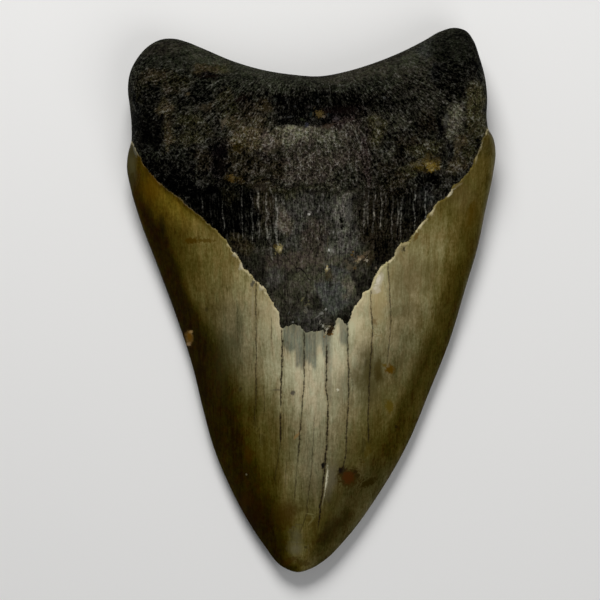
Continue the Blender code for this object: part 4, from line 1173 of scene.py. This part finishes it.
def enamel_colour(s, border):
    """Enamel: cream down the middle through olive to dark brown rims, in part painted highlight and
    shade, with fine grain down the tooth, stains, a painted highlight at the tip, hairline cracks
    and a pale chipped lip. Also gives the fine height."""
    streak = s.noise((0.27, 9.0, 0.6), 3.0, 0.65, shift=(2.0, 0.0, 0.0))
    broad = s.noise((1.3, 30.0, 3.0), 3.0, 0.55, shift=(8.0, 0.0, 0.0))
    cloud = s.noise((5.0, 8.0, 7.0), 5.0, 0.65, shift=(1.0, 4.0, 2.0))
    mottle = s.noise((0.6, 0.8, 0.7), 4.0, 0.7, shift=(4.0, 4.0, 2.0))
    fleck = s.noise((0.24, 5.0, 0.6), 2.0, 0.5, shift=(9.0, 3.0, 0.0))
    change = s.plus(s.even(streak, 0.075), s.even(broad, 0.06))
    change = s.plus(change, s.plus(s.even(cloud, 0.09), s.even(mottle, 0.085)))
    change = s.minus(change, s.fit(fleck, 0.63, 0.71, 0.0, 0.13))
    tone = s.mark("enamel_tone")
    tone = s.math("MULTIPLY_ADD", change, s.fit(tone, 0.0, 0.6, 0.46, 1.0, smooth=False), tone)
    ivory = s.mix(s.mark("ashen"), s.ramp(tone, GOLDEN_ENAMEL), s.ramp(tone, ASHEN_ENAMEL))
    ivory = s.mix(s.mark("golden"), ivory, s.mix(1.0, ivory, srgb(255, 234, 125), "MULTIPLY"))
    turn = s.noise((2.4, 7.0, 3.0), 4.0, 0.6, shift=(6.0, 2.0, 5.0), warp=0.6)
    turn = s.mix(s.fit(turn, 0.40, 0.60), srgb(255, 249, 240), srgb(250, 254, 246))
    ivory = s.mix(1.0, ivory, turn, "MULTIPLY")
    rust = s.noise((1.7, 2.6, 2.0), 4.0, 0.65, shift=(3.0, 8.0, 2.0))
    rust = s.mix(s.fit(rust, 0.37, 0.55), srgb(255, 228, 190), srgb(240, 255, 214))
    ivory = s.mix(s.fit(tone, 0.10, 0.30, 0.9, 0.0), ivory, s.mix(1.0, ivory, rust, "MULTIPLY"))
    blue = s.times(s.mark("blue"), s.fit(streak, 0.36, 0.62, 0.66, 1.0))
    ivory = s.mix(blue, ivory, s.mix(1.0, ivory, BLUE_STAIN, "MULTIPLY"))
    ivory = s.spots("cloud", ivory, 0.75, cloud)
    ivory = s.spots("stain", ivory, 0.35, mottle)
    chip = s.mark("lip")
    reach = s.math("MULTIPLY_ADD", chip, s.fit(mottle, 0.35, 0.65, 0.2, 1.3), 0.22)
    lip = s.times(s.fit(border, 0.0, 0.08), s.fit(border, 0.12, reach, 1.0, 0.0))
    lip = s.times(s.times(lip, chip), s.fit(mottle, 0.36, 0.56, 0.35, 1.0))
    ivory = s.mix(lip, ivory, srgb(196, 184, 146))
    wander = s.even(s.noise((3.0, 1.3, 60.0), 3.0, 0.6), 0.12)
    bead = s.noise((3.0, 0.75, 40.0), 3.0, 0.6, shift=(0.0, 3.0, 0.0))
    off = s.size(s.plus(s.mark("crack_off"), wander))
    on = s.mark("crack_on")
    wide = s.math("MULTIPLY_ADD", s.fit(bead, 0.38, 0.62, 0.11, 0.38), on, 0.05)
    line = s.times(s.fit(off, 0.03, wide, 1.0, 0.0), on)
    halo = s.times(s.fit(off, 0.10, 0.75, 0.45, 0.0), on)
    ivory = s.mix(halo, ivory, s.mix(1.0, ivory, srgb(216, 204, 180), "MULTIPLY"))
    ivory = s.mix(s.times(line, s.fit(bead, 0.30, 0.55, 0.55, 1.0)), ivory, srgb(30, 22, 11))
    satin = s.plus(s.times(streak, 0.02), s.times(mottle, 0.012))
    return ivory, s.minus(satin, s.times(line, 0.08)), cloud


def fossil_finish():
    """Bone and enamel joined at the ragged edge between them: matt bone, satin enamel with a thin
    gloss, spots of mineral and painted glints over both, and the fine grain of each as bump."""
    s = Shader("fossil")
    ragged = s.noise((0.5, 0.6, 0.5), 2.0, 0.6, shift=(4.0, 1.0, 2.0))
    border = s.plus(s.mark("border"), s.even(ragged, 0.13))
    enamel = s.fit(border, -0.08, 0.08)
    root = s.minus(1.0, enamel)
    bone, bone_height, grit = bone_colour(s, s.mark("bone_end"))
    ivory, ivory_height, cloud = enamel_colour(s, border)
    # Glint spots over both, partly painted highlights.
    s.put(s.spots("glint", s.mix(enamel, bone, ivory), 0.4, grit, 0.3), s.skin.inputs["Base Color"])
    gloss = s.fit(cloud, 0.3, 0.7, 0.34, 0.46, smooth=False)
    dull = s.fit(grit, 0.3, 0.7, 0.62, 0.88, smooth=False)
    dull = s.minus(dull, s.times(s.mark("slate"), 0.16))
    rough = s.plus(s.times(enamel, gloss), s.times(root, dull))
    s.put(rough, s.skin.inputs["Roughness"])
    s.skin.inputs["Specular IOR Level"].default_value = 0.01
    s.put(s.times(enamel, 0.03), s.skin.inputs["Coat Weight"])
    s.skin.inputs["Coat Roughness"].default_value = 0.28
    height = s.plus(s.times(root, bone_height), s.times(enamel, ivory_height))
    bump = s.node("ShaderNodeBump", {"Height": height, "Distance": MM, "Strength": 1.0})
    s.put(bump.outputs[0], s.skin.inputs["Normal"])
    return s.material


# ---------------------------------------------------------------- build

tooth = bpy.data.objects.new("tooth_surface", tooth_mesh())
bpy.context.scene.collection.objects.link(tooth)
tooth.data.materials.append(fossil_finish())
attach(tooth, "root")
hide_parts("tooth")


FLOOR_REACH = 3.0
CAMERA_HEIGHT = 1.2
SENSOR_WIDTH = 36.0
EDGE_LEVEL = 0.006  # height of the cutting edge above the floor
VIEW_WIDTH = 0.1482  # width of what the camera sees at that height
VIEW_X, VIEW_Y = -0.00266, 0.00012
SKY_COLOUR, SKY_STRENGTH = (0.9, 0.94, 1.0, 1.0), 0.12


def paper_finish():
    """Plain matt white of the floor."""
    s = Shader("paper")
    s.skin.inputs["Base Color"].default_value = (0.88, 0.87, 0.85, 1.0)
    s.skin.inputs["Roughness"].default_value = 0.9
    return s.material


def studio():
    """A pale floor, two soft lamps and the camera straight above the tooth."""
    mesh = bpy.data.meshes.new("floor")
    corners = [(-1, -1), (1, -1), (1, 1), (-1, 1)]
    mesh.from_pydata([(x * FLOOR_REACH, y * FLOOR_REACH, 0) for x, y in corners], [], [(0, 1, 2, 3)])
    floor = bpy.data.objects.new("floor", mesh)
    bpy.context.scene.collection.objects.link(floor)
    floor.data.materials.append(paper_finish())

    def lamp(name, place, size, power):
        light = bpy.data.lights.new(name, "AREA")
        light.shape = "DISK"
        light.size = size
        light.energy = power
        made = bpy.data.objects.new(name, light)
        made.location = place
        made.rotation_euler = (-Vector(place)).to_track_quat("-Z", "Y").to_euler()
        bpy.context.scene.collection.objects.link(made)

    lamp("key", (-0.10, 0.56, 0.52), 0.40, 5.2)
    lamp("fill", (0.34, -0.28, 0.60), 0.6, 1.3)
    world = bpy.data.worlds.new("studio")
    world.use_nodes = True
    sky = world.node_tree.nodes["Background"]
    sky.inputs["Color"].default_value = SKY_COLOUR
    sky.inputs["Strength"].default_value = SKY_STRENGTH
    bpy.context.scene.world = world

    camera = bpy.data.cameras.new("camera")
    camera.sensor_width = SENSOR_WIDTH
    camera.lens = SENSOR_WIDTH * (CAMERA_HEIGHT - EDGE_LEVEL) / VIEW_WIDTH
    view = bpy.data.objects.new("camera", camera)
    view.location = (VIEW_X, VIEW_Y, CAMERA_HEIGHT)
    bpy.context.scene.collection.objects.link(view)
    bpy.context.scene.camera = view


studio()
bpy.context.scene.view_settings.view_transform = "Standard"
